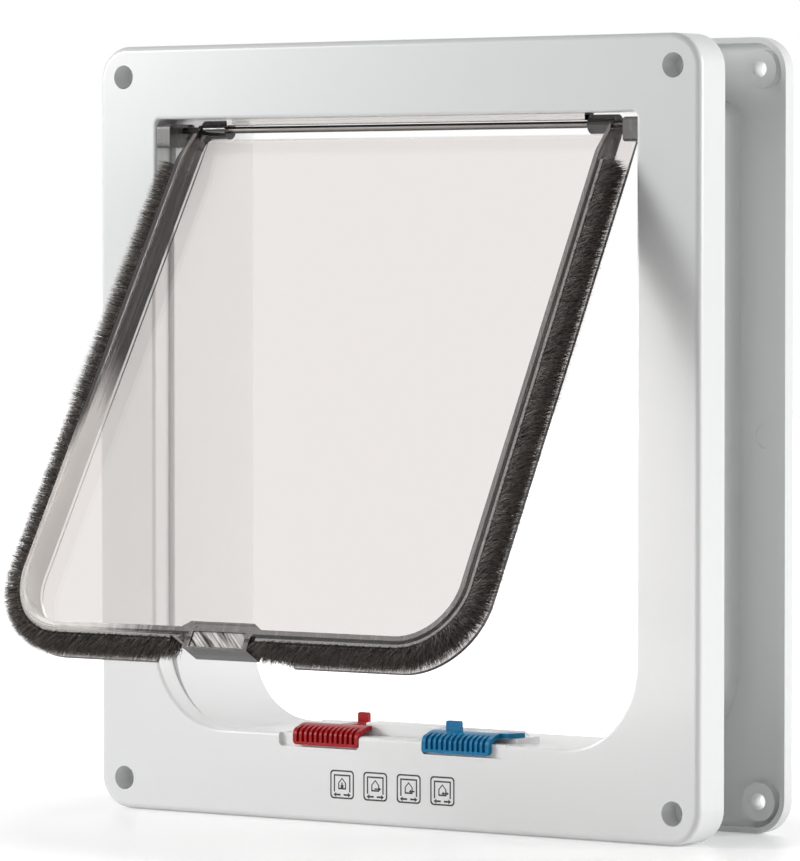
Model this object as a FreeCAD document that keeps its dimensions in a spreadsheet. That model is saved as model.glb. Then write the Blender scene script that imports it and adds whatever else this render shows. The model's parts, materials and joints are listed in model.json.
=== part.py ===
"""Four-way locking cat flap for a door: two white moulded frames joined by a telescoping tunnel,
a smoky flap with a pile draught strip that swings on a steel rod, and two sliding locks in the sill.

Millimetres. X runs to the right along the front face, Y into the door and Z up. The origin is the
middle of the front frame's standing edge. The flap is shown pushed out by open_angle degrees.
"""
import FreeCAD, Part
import math
import os

import Sketcher
from FreeCAD import Placement, Rotation, Vector

SIZES = [
    ("frame_width", 235.0, "both frames, side to side"),
    ("frame_height", 250.0, "both frames, foot to top"),
    ("frame_corner", 11.0, "corner radius of both frames"),
    ("frame_wall", 2.5, "wall of the front frame"),
    ("front_depth", 14.0, "front frame, face to door"),
    ("edge_round", 2.0, "rounding of the outer edges"),
    ("opening_width", 188.0, "opening in the front frame"),
    ("opening_floor", 28.0, "height of the opening's lower edge"),
    ("opening_top", 226.0, "height of the opening's upper edge, and of the tunnel's ceiling"),
    ("opening_corner", 27.0, "lower corner radius of the opening"),
    ("upper_corner", 1.5, "upper corner radius of the opening and the tunnel"),
    ("lip_depth", 7.5, "return lip round the opening"),
    ("lip_wall", 2.0, "wall of the lip and its socket"),
    ("lip_round", 1.2, "rounding of the lip's front edge"),
    ("socket_start", 5.5, "face to the front of the socket that takes the liner"),
    ("socket_depth", 6.5, "length of that socket"),
    ("socket_gap", 0.3, "clearance of the liner's flange in the socket"),
    ("screw_inset", 10.0, "screw centre to both outer edges"),
    ("post_radius", 6.0, "screw posts of the front frame"),
    ("counterbore_radius", 3.9, "recess for the screw head"),
    ("counterbore_depth", 8.0, "depth of that recess"),
    ("screw_hole_radius", 2.1, "screw hole of the front frame"),
    ("tunnel_width", 184.0, "clear width of the tunnel liner"),
    ("tunnel_floor", 27.5, "height of the liner's floor"),
    ("tunnel_corner", 25.0, "lower inner corner radius of the liner"),
    ("liner_wall", 2.3, "wall of the liner"),
    ("liner_length", 41.5, "liner behind the joint"),
    ("joint_gap", 0.5, "shadow line between lip and liner"),
    ("flange_height", 5.0, "flange at the front of the liner"),
    ("flange_depth", 2.5, "thickness of that flange"),
    ("overall_depth", 55.0, "front face to rear face"),
    ("rear_depth", 6.0, "rear frame, door to rear face"),
    ("rear_plate", 2.0, "plate of the rear frame"),
    ("rear_wall", 1.8, "skirt of the rear frame"),
    ("rear_dish", 2.6, "radius where the skirt meets the plate"),
    ("sleeve_start", 15.0, "front face to the free end of the sleeve"),
    ("slide_gap", 0.3, "sleeve over liner, above and below"),
    ("side_gap", 1.3, "sleeve over liner, at the sides"),
    ("sleeve_wall", 1.8, "sleeve, above and below"),
    ("sleeve_side_wall", 2.8, "sleeve, at the sides"),
    ("sleeve_top_round", 7.0, "upper outer corners of the sleeve"),
    ("boss_radius", 6.1, "screw bosses of the rear frame"),
    ("boss_height", 3.5, "height of those bosses on the plate"),
    ("rear_hole_radius", 2.6, "screw hole of the rear frame"),
    ("mark_inset", 9.5, "outer edge to the round ejector marks"),
    ("mark_radius", 4.0, "round ejector marks"),
    ("mark_depth", 0.3, "depth of those marks"),
    ("hinge_depth", 10.0, "front face to the hinge axis"),
    ("hinge_drop", 3.6, "ceiling to the hinge axis"),
    ("rod_radius", 1.1, "steel hinge rod"),
    ("rod_clearance", 0.05, "rod in its bores"),
    ("block_width", 5.3, "hinge block, side to side"),
    ("block_start", 0.5, "front face to the hinge block"),
    ("block_depth", 13.5, "hinge block, front to back"),
    ("block_height", 7.7, "hinge block, bottom to top"),
    ("block_drop", 1.5, "ceiling to the hinge block"),
    ("block_round", 1.4, "corners of the hinge block"),
    ("block_recess_radius", 3.1, "round recess where the rod enters"),
    ("block_recess_depth", 1.0, "depth of that recess"),
    ("rod_seat", 1.8, "rod into the block"),
    ("header_height", 2.3, "header strip above the rod"),
    ("header_depth", 5.0, "header strip, front to back"),
    ("header_start", 7.0, "front face to the header strip"),
    ("header_gap", 0.9, "header strip to the barrels"),
    ("header_round", 0.5, "lower edges of the header strip"),
    ("open_angle", 30.0, "flap pushed out, in degrees"),
    ("arm_set_in", 8.6, "hinge block to the inside of the flap's rim, at the axis"),
    ("rim_corner_in", 29.0, "side of the opening to the corner centres of the rim"),
    ("rim_corner_down", 164.4, "axis to the corner centres of the rim"),
    ("rim_corner", 18.0, "inside corner radius of the rim"),
    ("rim_front", 7.0, "hinge axis to the front of the rim"),
    ("rim_back", 3.6, "hinge axis to the back of the rim"),
    ("rim_floor", 1.5, "floor of the rim's channel"),
    ("rim_flange", 1.2, "thickness of both flanges"),
    ("rim_round", 0.5, "rounding of the rim's inner front edge"),
    ("front_flange_rise", 1.0, "front flange above the channel floor"),
    ("flange_set_in", 1.1, "hinge block to the rear flange, at the axis"),
    ("rear_corner_in", 29.1, "side of the opening to the corner centres of the rear flange"),
    ("rear_corner_down", 165.9, "axis to the corner centres of the rear flange"),
    ("rear_corner", 24.5, "corner radius of the rear flange"),
    ("hub_radius", 3.1, "barrels and arm ends round the rod"),
    ("barrel_length", 9.0, "barrels inside the arms"),
    ("arm_slim", 3.2, "half depth of the arms at the axis"),
    ("arm_taper_end", 14.5, "axis to where the arms reach full depth"),
    ("gusset_round", 4.0, "hollow corner between barrel and arm"),
    ("gusset_root", 2.5, "axis to the lower edge of that corner at the barrel"),
    ("gusset_depth", 3.0, "thickness of that corner"),
    ("pane_start", 1.0, "hinge axis to the front of the pane"),
    ("pane_thickness", 2.0, "clear pane"),
    ("pane_top", 3.0, "axis to the top edge of the pane"),
    ("housing_half", 12.2, "magnet housing, half width"),
    ("housing_shoulder", 2.8, "sloped shoulder of the housing"),
    ("housing_rise", 1.8, "housing above the rim"),
    ("housing_bottom", 189.8, "axis to the underside of the housing"),
    ("window_half", 10.2, "half width of the magnet's window"),
    ("window_floor", 0.6, "wall under the magnet"),
    ("magnet_depth", 4.9, "magnet, front to back"),
    ("magnet_set_back", 0.6, "magnet behind the housing's front"),
    ("magnet_gap", 0.05, "magnet in its window"),
    ("notch_left", 28.5, "middle to the left end of the rear flange's gap"),
    ("notch_right", 15.7, "middle to the right end of that gap"),
    ("relief_right", 24.4, "middle to the right end of the low part beside the gap"),
    ("relief_down", 187.5, "axis to that low part and to the parted pile"),
    ("strip_start", 16.0, "axis to the upper end of the draught strips"),
    ("strip_left_end", 20.0, "middle to the end of the left strip"),
    ("strip_right_end", 13.2, "middle to the end of the right strip"),
    ("strip_gap", 0.1, "strip in its channel"),
    ("backing_thickness", 0.7, "woven backing"),
    ("backing_edge", 0.6, "woven edges beside the pile"),
    ("backing_rise", 1.9, "woven edges above the channel floor"),
    ("pile_reach", 7.1, "pile tips above the channel floor"),
    ("pile_lean", 1.5, "pile tips in front of the channel's middle"),
    ("sill_half", 44.0, "half length of the threshold bar"),
    ("sill_start", 8.0, "front face to the threshold bar"),
    ("sill_depth", 12.5, "threshold bar, front to back"),
    ("sill_rise", 1.95, "ledge above the tunnel floor"),
    ("sill_rib_depth", 1.5, "rear rib of the threshold bar"),
    ("sill_rib_rise", 3.5, "rear rib above the tunnel floor"),
    ("sill_rib_left", 42.0, "middle to the left end of the rib"),
    ("sill_rib_right", 40.0, "middle to the right end of the rib"),
    ("keeper_half", 14.8, "half length of the magnet seat in the sill"),
    ("keeper_seat_depth", 7.5, "magnet seat, front to back"),
    ("keeper_seat_rise", 4.6, "magnet seat above the tunnel floor"),
    ("keeper_seat_round", 0.6, "upper edges of that seat"),
    ("keeper_skin", 0.8, "plastic over the keeper magnet"),
    ("keeper_length", 20.0, "keeper magnet"),
    ("keeper_depth", 4.0, "keeper magnet, front to back"),
    ("keeper_height", 3.0, "keeper magnet, bottom to top"),
    ("slider_top", 31.1, "height of the sliders' plate"),
    ("slider_wall", 1.5, "wall of the sliders"),
    ("slider_gap", 0.2, "sliders to frame"),
    ("slider_travel", 5.6, "travel of each slider"),
    ("grip_length", 26.0, "finger grip of each slider"),
    ("grip_bottom", 24.4, "height of the grip's lower edge"),
    ("grip_nose_round", 2.4, "front curve of the grip"),
    ("grip_nose_height", 27.5, "height where that curve starts"),
    ("grip_back_round", 9.0, "curve from the nose to the plate"),
    ("grip_corner", 1.4, "lower corners of the grip"),
    ("plate_end", 7.4, "front face to the back of the plate"),
    ("plate_flat", 0.6, "flat part of the plate behind its curve"),
    ("recess_depth", 1.6, "recess for the grips in the front face"),
    ("recess_bottom", 23.7, "height of the recess's lower edge"),
    ("recess_corner", 1.5, "lower corners of the recess"),
    ("groove_width", 1.1, "finger grooves"),
    ("groove_depth", 0.9, "finger grooves"),
    ("groove_pitch", 2.0, "finger grooves"),
    ("groove_count", 12.0, "finger grooves"),
    ("groove_foot", 1.0, "plain bar under the grooves"),
    ("tab_top", 34.3, "height of the lock tabs"),
    ("tab_thickness", 1.4, "lock tabs, front to back"),
    ("tab_round", 0.7, "upper corners of the lock tabs"),
    ("red_inner", 12.1, "middle to the red grip"),
    ("red_tab_start", 17.2, "front face to the red lock tab"),
    ("red_tab_inner", 20.7, "middle to the red lock tab"),
    ("red_tab_width", 4.2, "red lock tab"),
    ("blue_inner", 12.9, "middle to the blue grip"),
    ("blue_tab_start", 6.0, "front face to the blue lock tab"),
    ("blue_tab_inner", 18.0, "middle to the blue lock tab"),
    ("blue_tab_width", 5.6, "blue lock tab"),
    ("tail_reach", 5.1, "pointed tail of the blue plate, past the grip"),
    ("tail_shoulder", 2.6, "straight front edge of that tail"),
    ("tail_start", 6.3, "front face to that tail"),
    ("tail_end", 12.5, "front face to the back of that tail"),
    ("foot_length", 4.0, "snap foot under each slider"),
    ("foot_inset", 1.2, "outer end of the grip to its snap foot"),
    ("foot_start", 3.0, "front face to the snap foot"),
    ("foot_thickness", 1.6, "snap foot, front to back"),
    ("foot_drop", 0.9, "snap foot below the lip"),
    ("barb_reach", 0.7, "barb on the snap foot"),
    ("barb_height", 0.6, "barb on the snap foot"),
]

OUTER_HALF = "Sizes.frame_width / 2"
OPENING_HALF = "Sizes.opening_width / 2"
TUNNEL_HALF = "Sizes.tunnel_width / 2"
SLEEVE_BORE = "(Sizes.liner_wall + Sizes.slide_gap)"
SLEEVE_OUT = "(Sizes.liner_wall + Sizes.slide_gap + Sizes.sleeve_wall)"
SLEEVE_HALF = "(Sizes.tunnel_width / 2 + Sizes.liner_wall + Sizes.side_gap)"
HINGE_HEIGHT = "(Sizes.opening_top - Sizes.hinge_drop)"
SCREW_ACROSS = "(Sizes.frame_width / 2 - Sizes.screw_inset)"
SCREW_HIGH = "(Sizes.frame_height - Sizes.screw_inset)"
LINER_START = "(Sizes.lip_depth + Sizes.joint_gap)"
SOCKET_END = "(Sizes.socket_start + Sizes.socket_depth)"
REAR_START = "(Sizes.overall_depth - Sizes.rear_depth)"
PLATE_START = "(Sizes.overall_depth - Sizes.rear_plate)"
BLOCK_FACE = "(Sizes.opening_width / 2 - Sizes.block_width)"
RIM_HALF = f"({BLOCK_FACE} - Sizes.arm_set_in)"
FLANGE_HALF = f"({BLOCK_FACE} - Sizes.flange_set_in)"
RIM_CORNER = "(Sizes.opening_width / 2 - Sizes.rim_corner_in)"
FLANGE_CORNER = "(Sizes.opening_width / 2 - Sizes.rear_corner_in)"
BARREL_START = f"({RIM_HALF} - Sizes.barrel_length)"
RIM_DEPTH = "(Sizes.rim_front + Sizes.rim_back)"
CHANNEL_BACK = "(Sizes.rim_back - Sizes.rim_flange)"
CHANNEL_HALF = f"({RIM_DEPTH} / 2 - Sizes.rim_flange)"
CHANNEL_MIDDLE = "((Sizes.rim_back - Sizes.rim_front) / 2)"
RIM_BOTTOM = "(Sizes.rim_corner_down + Sizes.rim_corner)"
CHANNEL_FLOOR = "(Sizes.rim_corner_down + Sizes.rim_corner + Sizes.rim_floor)"
ROD_BORE = "(Sizes.rod_radius + Sizes.rod_clearance)"
MARGIN = "10"

doc = FreeCAD.newDocument("CatFlap")
sheet = doc.addObject("Spreadsheet::Sheet", "Sizes")
for row, (alias, size, note) in enumerate(SIZES, start=1):
    sheet.set(f"A{row}", alias)
    sheet.set(f"B{row}", str(size))
    sheet.set(f"C{row}", note)
    sheet.setAlias(f"B{row}", alias)
doc.recompute()


def value(expression):
    """The number that an expression over the sheet gives."""
    return float(sheet.evalExpression(expression))


def minus(expression):
    """The same length to the other side."""
    return f"-({expression})"


def new_body(label):
    """A body standing in the frame whose origin is the middle of the front frame's foot."""
    body = doc.addObject("PartDesign::Body", label)
    body.Label = label
    body.setExpression("Placement.Base.y", "-Sizes.front_depth / 2")
    return body


def new_flap_body(label):
    """A body drawn with the flap shut and the hinge axis as X, then hung on it and swung out."""
    body = doc.addObject("PartDesign::Body", label)
    body.Label = label
    body.Placement = Placement(Vector(0, 0, 0), Rotation(Vector(1, 0, 0), -1))
    body.setExpression("Placement.Base.y", "Sizes.hinge_depth - Sizes.front_depth / 2")
    body.setExpression("Placement.Base.z", HINGE_HEIGHT)
    body.setExpression("Placement.Rotation.Angle", minus("Sizes.open_angle"))
    return body


def plane_of(body, role):
    """One of the body's own origin planes."""
    return next(feature for feature in body.Origin.OriginFeatures if feature.Role == role)


def new_sketch(body, name, plane, distance):
    """A sketch parallel to XY, XZ or YZ, at a distance along the axis that the plane faces."""
    sketch = body.newObject("Sketcher::SketchObject", f"{body.Name}_{name}")
    sketch.AttachmentSupport = [(plane_of(body, plane + "_Plane"), "")]
    sketch.MapMode = "FlatFace"
    shift = minus(distance) if plane == "XZ" else distance
    sketch.setExpression("AttachmentOffset.Base.z", shift)
    return sketch


def hold(sketch, geometry, point, across, along):
    """Fix one point of a sketch by its two distances from the sketch's origin."""
    for kind, text in (("DistanceX", across), ("DistanceY", along)):
        constraint = Sketcher.Constraint(kind, -1, 1, geometry, point, value(text))
        index = sketch.addConstraint(constraint)
        sketch.setExpression(f"Constraints[{index}]", text)


def tangent_points(first, second):
    """Ends of the line from one corner to the next, each a centre and a signed radius."""
    (centre_a, radius_a), (centre_b, radius_b) = first, second
    step = centre_b - centre_a
    lean = math.asin((radius_a - radius_b) / step.Length)
    heading = math.atan2(step.y, step.x) + lean
    side = Vector(math.sin(heading), -math.cos(heading), 0)
    return centre_a + side * radius_a, centre_b + side * radius_b


def outline(sketch, corners, closed=True):
    """Lines joined at sharp corners (x, y) or by arcs (centre x, centre y, radius).

    An arc that turns left along the path has a plain radius, and one that turns right a negative.
    """
    spots = [(Vector(value(c[0]), value(c[1]), 0), value(c[2]) if len(c) > 2 else 0) for c in corners]
    count = len(spots)
    spans = count if closed else count - 1
    ends = [tangent_points(spots[i], spots[(i + 1) % count]) for i in range(spans)]
    lines = [sketch.addGeometry(Part.LineSegment(start, end)) for start, end in ends]
    for i, corner in enumerate(corners):
        entering = i - 1 if closed or i > 0 else None
        leaving = i if i < spans else None
        if len(corner) == 2:
            if entering is not None and leaving is not None:
                joint = Sketcher.Constraint("Coincident", lines[entering], 2, lines[leaving], 1)
                sketch.addConstraint(joint)
            if leaving is not None:
                hold(sketch, lines[leaving], 1, *corner)
            else:
                hold(sketch, lines[entering], 2, *corner)
            continue
        centre, radius = spots[i]
        first = ends[entering][1] - centre
        last = ends[leaving][0] - centre
        turns_left = radius > 0
        begin, finish = (first, last) if turns_left else (last, first)
        circle = Part.Circle(centre, Vector(0, 0, 1), abs(radius))
        angles = [math.atan2(spoke.y, spoke.x) for spoke in (begin, finish)]
        arc = sketch.addGeometry(Part.ArcOfCircle(circle, *angles))
        near, far = (1, 2) if turns_left else (2, 1)
        sketch.addConstraint(Sketcher.Constraint("Tangent", lines[entering], 2, arc, near))
        sketch.addConstraint(Sketcher.Constraint("Tangent", arc, far, lines[leaving], 1))
        hold(sketch, arc, 3, corner[0], corner[1])
        index = sketch.addConstraint(Sketcher.Constraint("Radius", arc, abs(radius)))
        sketch.setExpression(f"Constraints[{index}]", corner[2] if turns_left else minus(corner[2]))
    return sketch


def circles(sketch, centres, radius):
    """Equal circles at the given centres."""
    for across, along in centres:
        centre = Vector(value(across), value(along), 0)
        ring = sketch.addGeometry(Part.Circle(centre, Vector(0, 0, 1), value(radius)))
        hold(sketch, ring, 3, across, along)
        index = sketch.addConstraint(Sketcher.Constraint("Radius", ring, value(radius)))
        sketch.setExpression(f"Constraints[{index}]", radius)
    return sketch


def window(sketch, half, low, high, low_round, high_round):
    """An upright rectangle about the middle with rounded lower and upper corners."""
    low_in, high_in = f"({half} - {low_round})", f"({half} - {high_round})"
    low_up, high_down = f"({low} + {low_round})", f"({high} - {high_round})"
    corners = [
        (minus(low_in), low_up, low_round),
        (low_in, low_up, low_round),
        (high_in, high_down, high_round),
        (minus(high_in), high_down, high_round),
    ]
    return outline(sketch, corners)


def box_corners(left, right, low, high):
    """The four corners of a rectangle."""
    return [(left, low), (right, low), (right, high), (left, high)]


def faces_back(sketch):
    """An XZ sketch looks along -Y, so what grows from it towards +Y is reversed."""
    return sketch.AttachmentSupport[0][0].Role == "XZ_Plane"


def pad(body, name, sketch, length):
    """Material from a sketch towards the positive side of its plane."""
    feature = body.newObject("PartDesign::Pad", f"{body.Name}_{name}")
    feature.Profile = sketch
    feature.Reversed = faces_back(sketch)
    feature.setExpression("Length", length)
    doc.recompute()
    return feature


def pocket(body, name, sketch, length):
    """A cut from a sketch towards the positive side of its plane."""
    before = body.Shape.Volume
    feature = body.newObject("PartDesign::Pocket", f"{body.Name}_{name}")
    feature.Profile = sketch
    feature.Reversed = not faces_back(sketch)
    feature.setExpression("Length", length)
    doc.recompute()
    if body.Shape.Volume >= before:
        raise RuntimeError(f"{feature.Name} cuts nothing")
    return feature


def soften(body, name, radius, wanted):
    """A fillet on the edges that a test picks by their bounding box."""
    base = body.Tip
    picked = [f"Edge{i}" for i, edge in enumerate(base.Shape.Edges, start=1) if wanted(edge.BoundBox)]
    if not picked:
        raise RuntimeError(f"{name} finds no edge")
    feature = body.newObject("PartDesign::Fillet", f"{body.Name}_{name}")
    feature.Base = (base, picked)
    feature.setExpression("Radius", radius)
    doc.recompute()
    return feature


def near(a, b):
    """Equal to within a hundredth."""
    return abs(a - b) < 0.01


def flat_in(low, high, level):
    """A box side that stays at one level."""
    return near(low, level) and near(high, level)


def add_circles(body, name, start, length, centres, radius, make):
    """Round posts or holes along Y."""
    sketch = circles(new_sketch(body, name + "_outline", "XZ", start), centres, radius)
    return make(body, name, sketch, length)


def add_window(body, name, start, length, sizes, make):
    """A pad or pocket with a window outline, along Y."""
    sketch = window(new_sketch(body, name + "_outline", "XZ", start), *sizes)
    return make(body, name, sketch, length)


def frame_window(inset):
    """Outline of both frames, set in by a wall."""
    corner = f"(Sizes.frame_corner - {inset})"
    return f"({OUTER_HALF} - {inset})", inset, f"(Sizes.frame_height - {inset})", corner, corner


def opening_window(grow):
    """Outline of the front frame's opening, grown outwards."""
    return (
        f"({OPENING_HALF} + {grow})",
        f"(Sizes.opening_floor - {grow})",
        f"(Sizes.opening_top + {grow})",
        f"(Sizes.opening_corner + {grow})",
        f"(Sizes.upper_corner + {grow})",
    )


def tunnel_window(grow):
    """Outline of the liner's bore, grown outwards."""
    return (
        f"({TUNNEL_HALF} + {grow})",
        f"(Sizes.tunnel_floor - {grow})",
        f"(Sizes.opening_top + {grow})",
        f"(Sizes.tunnel_corner + {grow})",
        f"(Sizes.upper_corner + {grow})",
    )


def screw_centres():
    """The four screws of both frames."""
    return [
        (across, along)
        for across in (minus(SCREW_ACROSS), SCREW_ACROSS)
        for along in ("Sizes.screw_inset", SCREW_HIGH)
    ]


def slider_span(side, inner):
    """Left and right end of a grip on the left (-1) or right (1) of the middle."""
    outer = f"({inner} + Sizes.grip_length)"
    return (minus(outer), minus(inner)) if side < 0 else (inner, outer)


def front_frame():
    """White moulding: face, skirt, return lip, liner socket, screw posts and slider recesses."""
    body = new_body("front_frame")
    add_window(body, "face", "0", "Sizes.front_depth", frame_window("0"), pad)
    hollow = "(Sizes.front_depth - Sizes.frame_wall)"
    add_window(body, "hollow", "Sizes.frame_wall", hollow, frame_window("Sizes.frame_wall"), pocket)
    behind = "Sizes.frame_wall"
    collar = "(Sizes.lip_depth - Sizes.frame_wall)"
    add_window(body, "collar", behind, collar, opening_window("Sizes.lip_wall"), pad)
    grown = "(Sizes.flange_height + Sizes.socket_gap)"
    socket = "(Sizes.flange_height + Sizes.socket_gap + Sizes.lip_wall)"
    add_window(body, "socket", "Sizes.socket_start", "Sizes.socket_depth", tunnel_window(socket), pad)
    bore = f"({SOCKET_END} - Sizes.lip_depth)"
    add_window(body, "socket_bore", "Sizes.lip_depth", bore, tunnel_window(grown), pocket)
    add_window(body, "opening", "0", "Sizes.front_depth", opening_window("0"), pocket)
    centres = screw_centres()
    add_circles(body, "posts", behind, hollow, centres, "Sizes.post_radius", pad)
    counterbore = ("Sizes.counterbore_depth", centres, "Sizes.counterbore_radius")
    add_circles(body, "counterbores", "0", *counterbore, pocket)
    add_circles(body, "screw_holes", "0", "Sizes.front_depth", centres, "Sizes.screw_hole_radius", pocket)
    half = value(OPENING_HALF)
    low, high = value("Sizes.opening_floor"), value("Sizes.opening_top")

    def on_lip(box):
        inside = abs(box.XMin) < half + 1 and abs(box.XMax) < half + 1
        return inside and flat_in(box.YMin, box.YMax, 0) and box.ZMin > low - 1 and box.ZMax < high + 1

    def on_rim(box):
        outside = box.XMax - box.XMin < 0.01 and abs(box.XMax) > half + 1
        corner = min(abs(box.XMin), abs(box.XMax)) > half + 1
        far = box.ZMax < 1 or box.ZMin > value("Sizes.frame_height") - 1
        counterbored = corner and box.XLength < 8 and near(box.XLength, box.ZLength)
        counterbored = counterbored and abs(box.Center.x) < value(OUTER_HALF) - 6
        return flat_in(box.YMin, box.YMax, 0) and (outside or corner or far) and not counterbored

    soften(body, "lip_edge", "Sizes.lip_round", on_lip)
    soften(body, "outer_edge", "Sizes.edge_round", on_rim)
    for name, side, inner in (("left", -1, "Sizes.red_inner"), ("right", 1, "Sizes.blue_inner")):
        slider_recess(body, name, side, inner)
    return body


def slider_recess(body, name, side, inner):
    """Shallow step in the face for one grip, and the slot in the lip for its snap foot."""
    near_end = f"({inner} - Sizes.slider_gap)"
    far_end = f"({inner} + Sizes.grip_length + Sizes.slider_travel + Sizes.slider_gap)"
    left, right = (minus(far_end), minus(near_end)) if side < 0 else (near_end, far_end)
    round_off = "Sizes.recess_corner"
    low = f"(Sizes.recess_bottom + {round_off})"
    corners = [
        (f"({left} + {round_off})", low, round_off),
        (f"({right} - {round_off})", low, round_off),
        (right, f"(Sizes.opening_floor + {MARGIN})"),
        (left, f"(Sizes.opening_floor + {MARGIN})"),
    ]
    sketch = outline(new_sketch(body, name + "_recess_outline", "XZ", "0"), corners)
    pocket(body, name + "_recess", sketch, "Sizes.recess_depth")
    foot_out = f"({inner} + Sizes.grip_length - Sizes.foot_inset + Sizes.slider_travel + Sizes.slider_gap)"
    foot_in = f"({inner} + Sizes.grip_length - Sizes.foot_inset - Sizes.foot_length - Sizes.slider_gap)"
    ends = (minus(foot_out), minus(foot_in)) if side < 0 else (foot_in, foot_out)
    front = "(Sizes.foot_start - Sizes.slider_gap)"
    back = "(Sizes.foot_start + Sizes.foot_thickness + Sizes.slider_gap)"
    level = "(Sizes.opening_floor - Sizes.lip_wall - Sizes.slider_gap)"
    slot = outline(new_sketch(body, name + "_slot_outline", "XY", level), box_corners(*ends, front, back))
    pocket(body, name + "_slot", slot, "(Sizes.lip_wall + Sizes.slider_gap * 2)")


def tunnel_liner():
    """White liner behind the lip, with the flange that seats in the front frame's socket."""
    body = new_body("tunnel_liner")
    flange = tunnel_window("Sizes.flange_height")
    add_window(body, "flange", "Sizes.lip_depth", "Sizes.flange_depth", flange, pad)
    add_window(body, "tube", LINER_START, "Sizes.liner_length", tunnel_window("Sizes.liner_wall"), pad)
    length = "(Sizes.liner_length + Sizes.joint_gap)"
    add_window(body, "bore", "Sizes.lip_depth", length, tunnel_window("0"), pocket)
    shadow = opening_window("Sizes.socket_gap")
    add_window(body, "shadow_line", "Sizes.lip_depth", "Sizes.joint_gap", shadow, pocket)
    return body


def rear_frame():
    """White moulding: dished plate with a skirt, screw bosses and the sleeve that slides on the liner."""
    body = new_body("rear_frame")
    add_window(body, "plate", REAR_START, "Sizes.rear_depth", frame_window("0"), pad)
    deep = "(Sizes.rear_depth - Sizes.rear_plate)"
    add_window(body, "dish", REAR_START, deep, frame_window("Sizes.rear_wall"), pocket)
    wall = value("Sizes.rear_wall")
    plate = value(PLATE_START)
    back = value("Sizes.overall_depth")
    soften(body, "dish_edge", "Sizes.rear_dish", lambda box: flat_in(box.YMin, box.YMax, plate))
    soften(body, "outer_edge", "Sizes.edge_round", lambda box: flat_in(box.YMin, box.YMax, back))
    outer = (
        f"({SLEEVE_HALF} + Sizes.sleeve_side_wall)",
        f"(Sizes.tunnel_floor - {SLEEVE_OUT})",
        f"(Sizes.opening_top + {SLEEVE_OUT})",
        f"(Sizes.tunnel_corner + {SLEEVE_OUT})",
        "Sizes.sleeve_top_round",
    )
    sleeve = f"({PLATE_START} - Sizes.sleeve_start + Sizes.rear_plate / 2)"
    add_window(body, "sleeve", "Sizes.sleeve_start", sleeve, outer, pad)
    inner = (
        SLEEVE_HALF,
        f"(Sizes.tunnel_floor - {SLEEVE_BORE})",
        f"(Sizes.opening_top + {SLEEVE_BORE})",
        f"(Sizes.tunnel_corner + {SLEEVE_BORE})",
        f"(Sizes.upper_corner + {SLEEVE_BORE})",
    )
    through = "(Sizes.overall_depth - Sizes.sleeve_start)"
    add_window(body, "sleeve_bore", "Sizes.sleeve_start", through, inner, pocket)
    centres = screw_centres()
    boss_start = f"({PLATE_START} - Sizes.boss_height)"
    boss_length = "(Sizes.boss_height + Sizes.rear_plate / 2)"
    add_circles(body, "bosses", boss_start, boss_length, centres, "Sizes.boss_radius", pad)
    holes = (REAR_START, "Sizes.rear_depth", centres, "Sizes.rear_hole_radius")
    add_circles(body, "screw_holes", *holes, pocket)
    across = f"({OUTER_HALF} - Sizes.mark_inset)"
    marks = [(minus(across), "Sizes.frame_height / 2"), (across, "Sizes.frame_height / 2")]
    mark_start = f"({PLATE_START} - {MARGIN} / 10)"
    mark_length = f"({MARGIN} / 10 + Sizes.mark_depth)"
    add_circles(body, "marks", mark_start, mark_length, marks, "Sizes.mark_radius", pocket)
    return body


def threshold_bar():
    """White insert on the tunnel floor: slider ledge, rear rib and the seat of the keeper magnet."""
    body = new_body("threshold_bar")
    floor = "Sizes.tunnel_floor"
    back = "(Sizes.sill_start + Sizes.sill_depth)"
    ledge = box_corners("-Sizes.sill_half", "Sizes.sill_half", "Sizes.sill_start", back)
    pad(body, "ledge", outline(new_sketch(body, "ledge_outline", "XY", floor), ledge), "Sizes.sill_rise")
    high = "(Sizes.tunnel_floor + Sizes.sill_rib_rise)"
    slope = "(Sizes.sill_rib_rise - Sizes.sill_rise)"
    level = "(Sizes.tunnel_floor + Sizes.sill_rise / 2)"
    rib = [
        (f"-(Sizes.sill_rib_left + {slope})", level),
        (f"(Sizes.sill_rib_right + {slope})", level),
        ("(Sizes.sill_rib_right - Sizes.sill_rib_depth)", high),
        ("-(Sizes.sill_rib_left - Sizes.sill_rib_depth)", high),
    ]
    rib_sketch = outline(new_sketch(body, "rib_outline", "XZ", f"({back} - Sizes.sill_rib_depth)"), rib)
    pad(body, "rib", rib_sketch, "Sizes.sill_rib_depth")
    seat_top = "(Sizes.tunnel_floor + Sizes.keeper_seat_rise)"
    seat = box_corners("-Sizes.keeper_half", "Sizes.keeper_half", level, seat_top)
    seat_sketch = outline(new_sketch(body, "seat_outline", "XZ", "Sizes.sill_start"), seat)
    pad(body, "seat", seat_sketch, "Sizes.keeper_seat_depth")
    top = value(seat_top)
    soften(body, "seat_edge", "Sizes.keeper_seat_round", lambda box: flat_in(box.ZMin, box.ZMax, top))
    hole = "Sizes.keeper_seat_rise - Sizes.keeper_skin"
    start = "(Sizes.sill_start + (Sizes.keeper_seat_depth - Sizes.keeper_depth) / 2)"
    nest = box_corners(
        "-(Sizes.keeper_length / 2 + Sizes.magnet_gap)",
        "(Sizes.keeper_length / 2 + Sizes.magnet_gap)",
        f"({start} - Sizes.magnet_gap)",
        f"({start} + Sizes.keeper_depth + Sizes.magnet_gap)",
    )
    pocket(body, "nest", outline(new_sketch(body, "nest_outline", "XY", floor), nest), hole)
    return body


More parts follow.
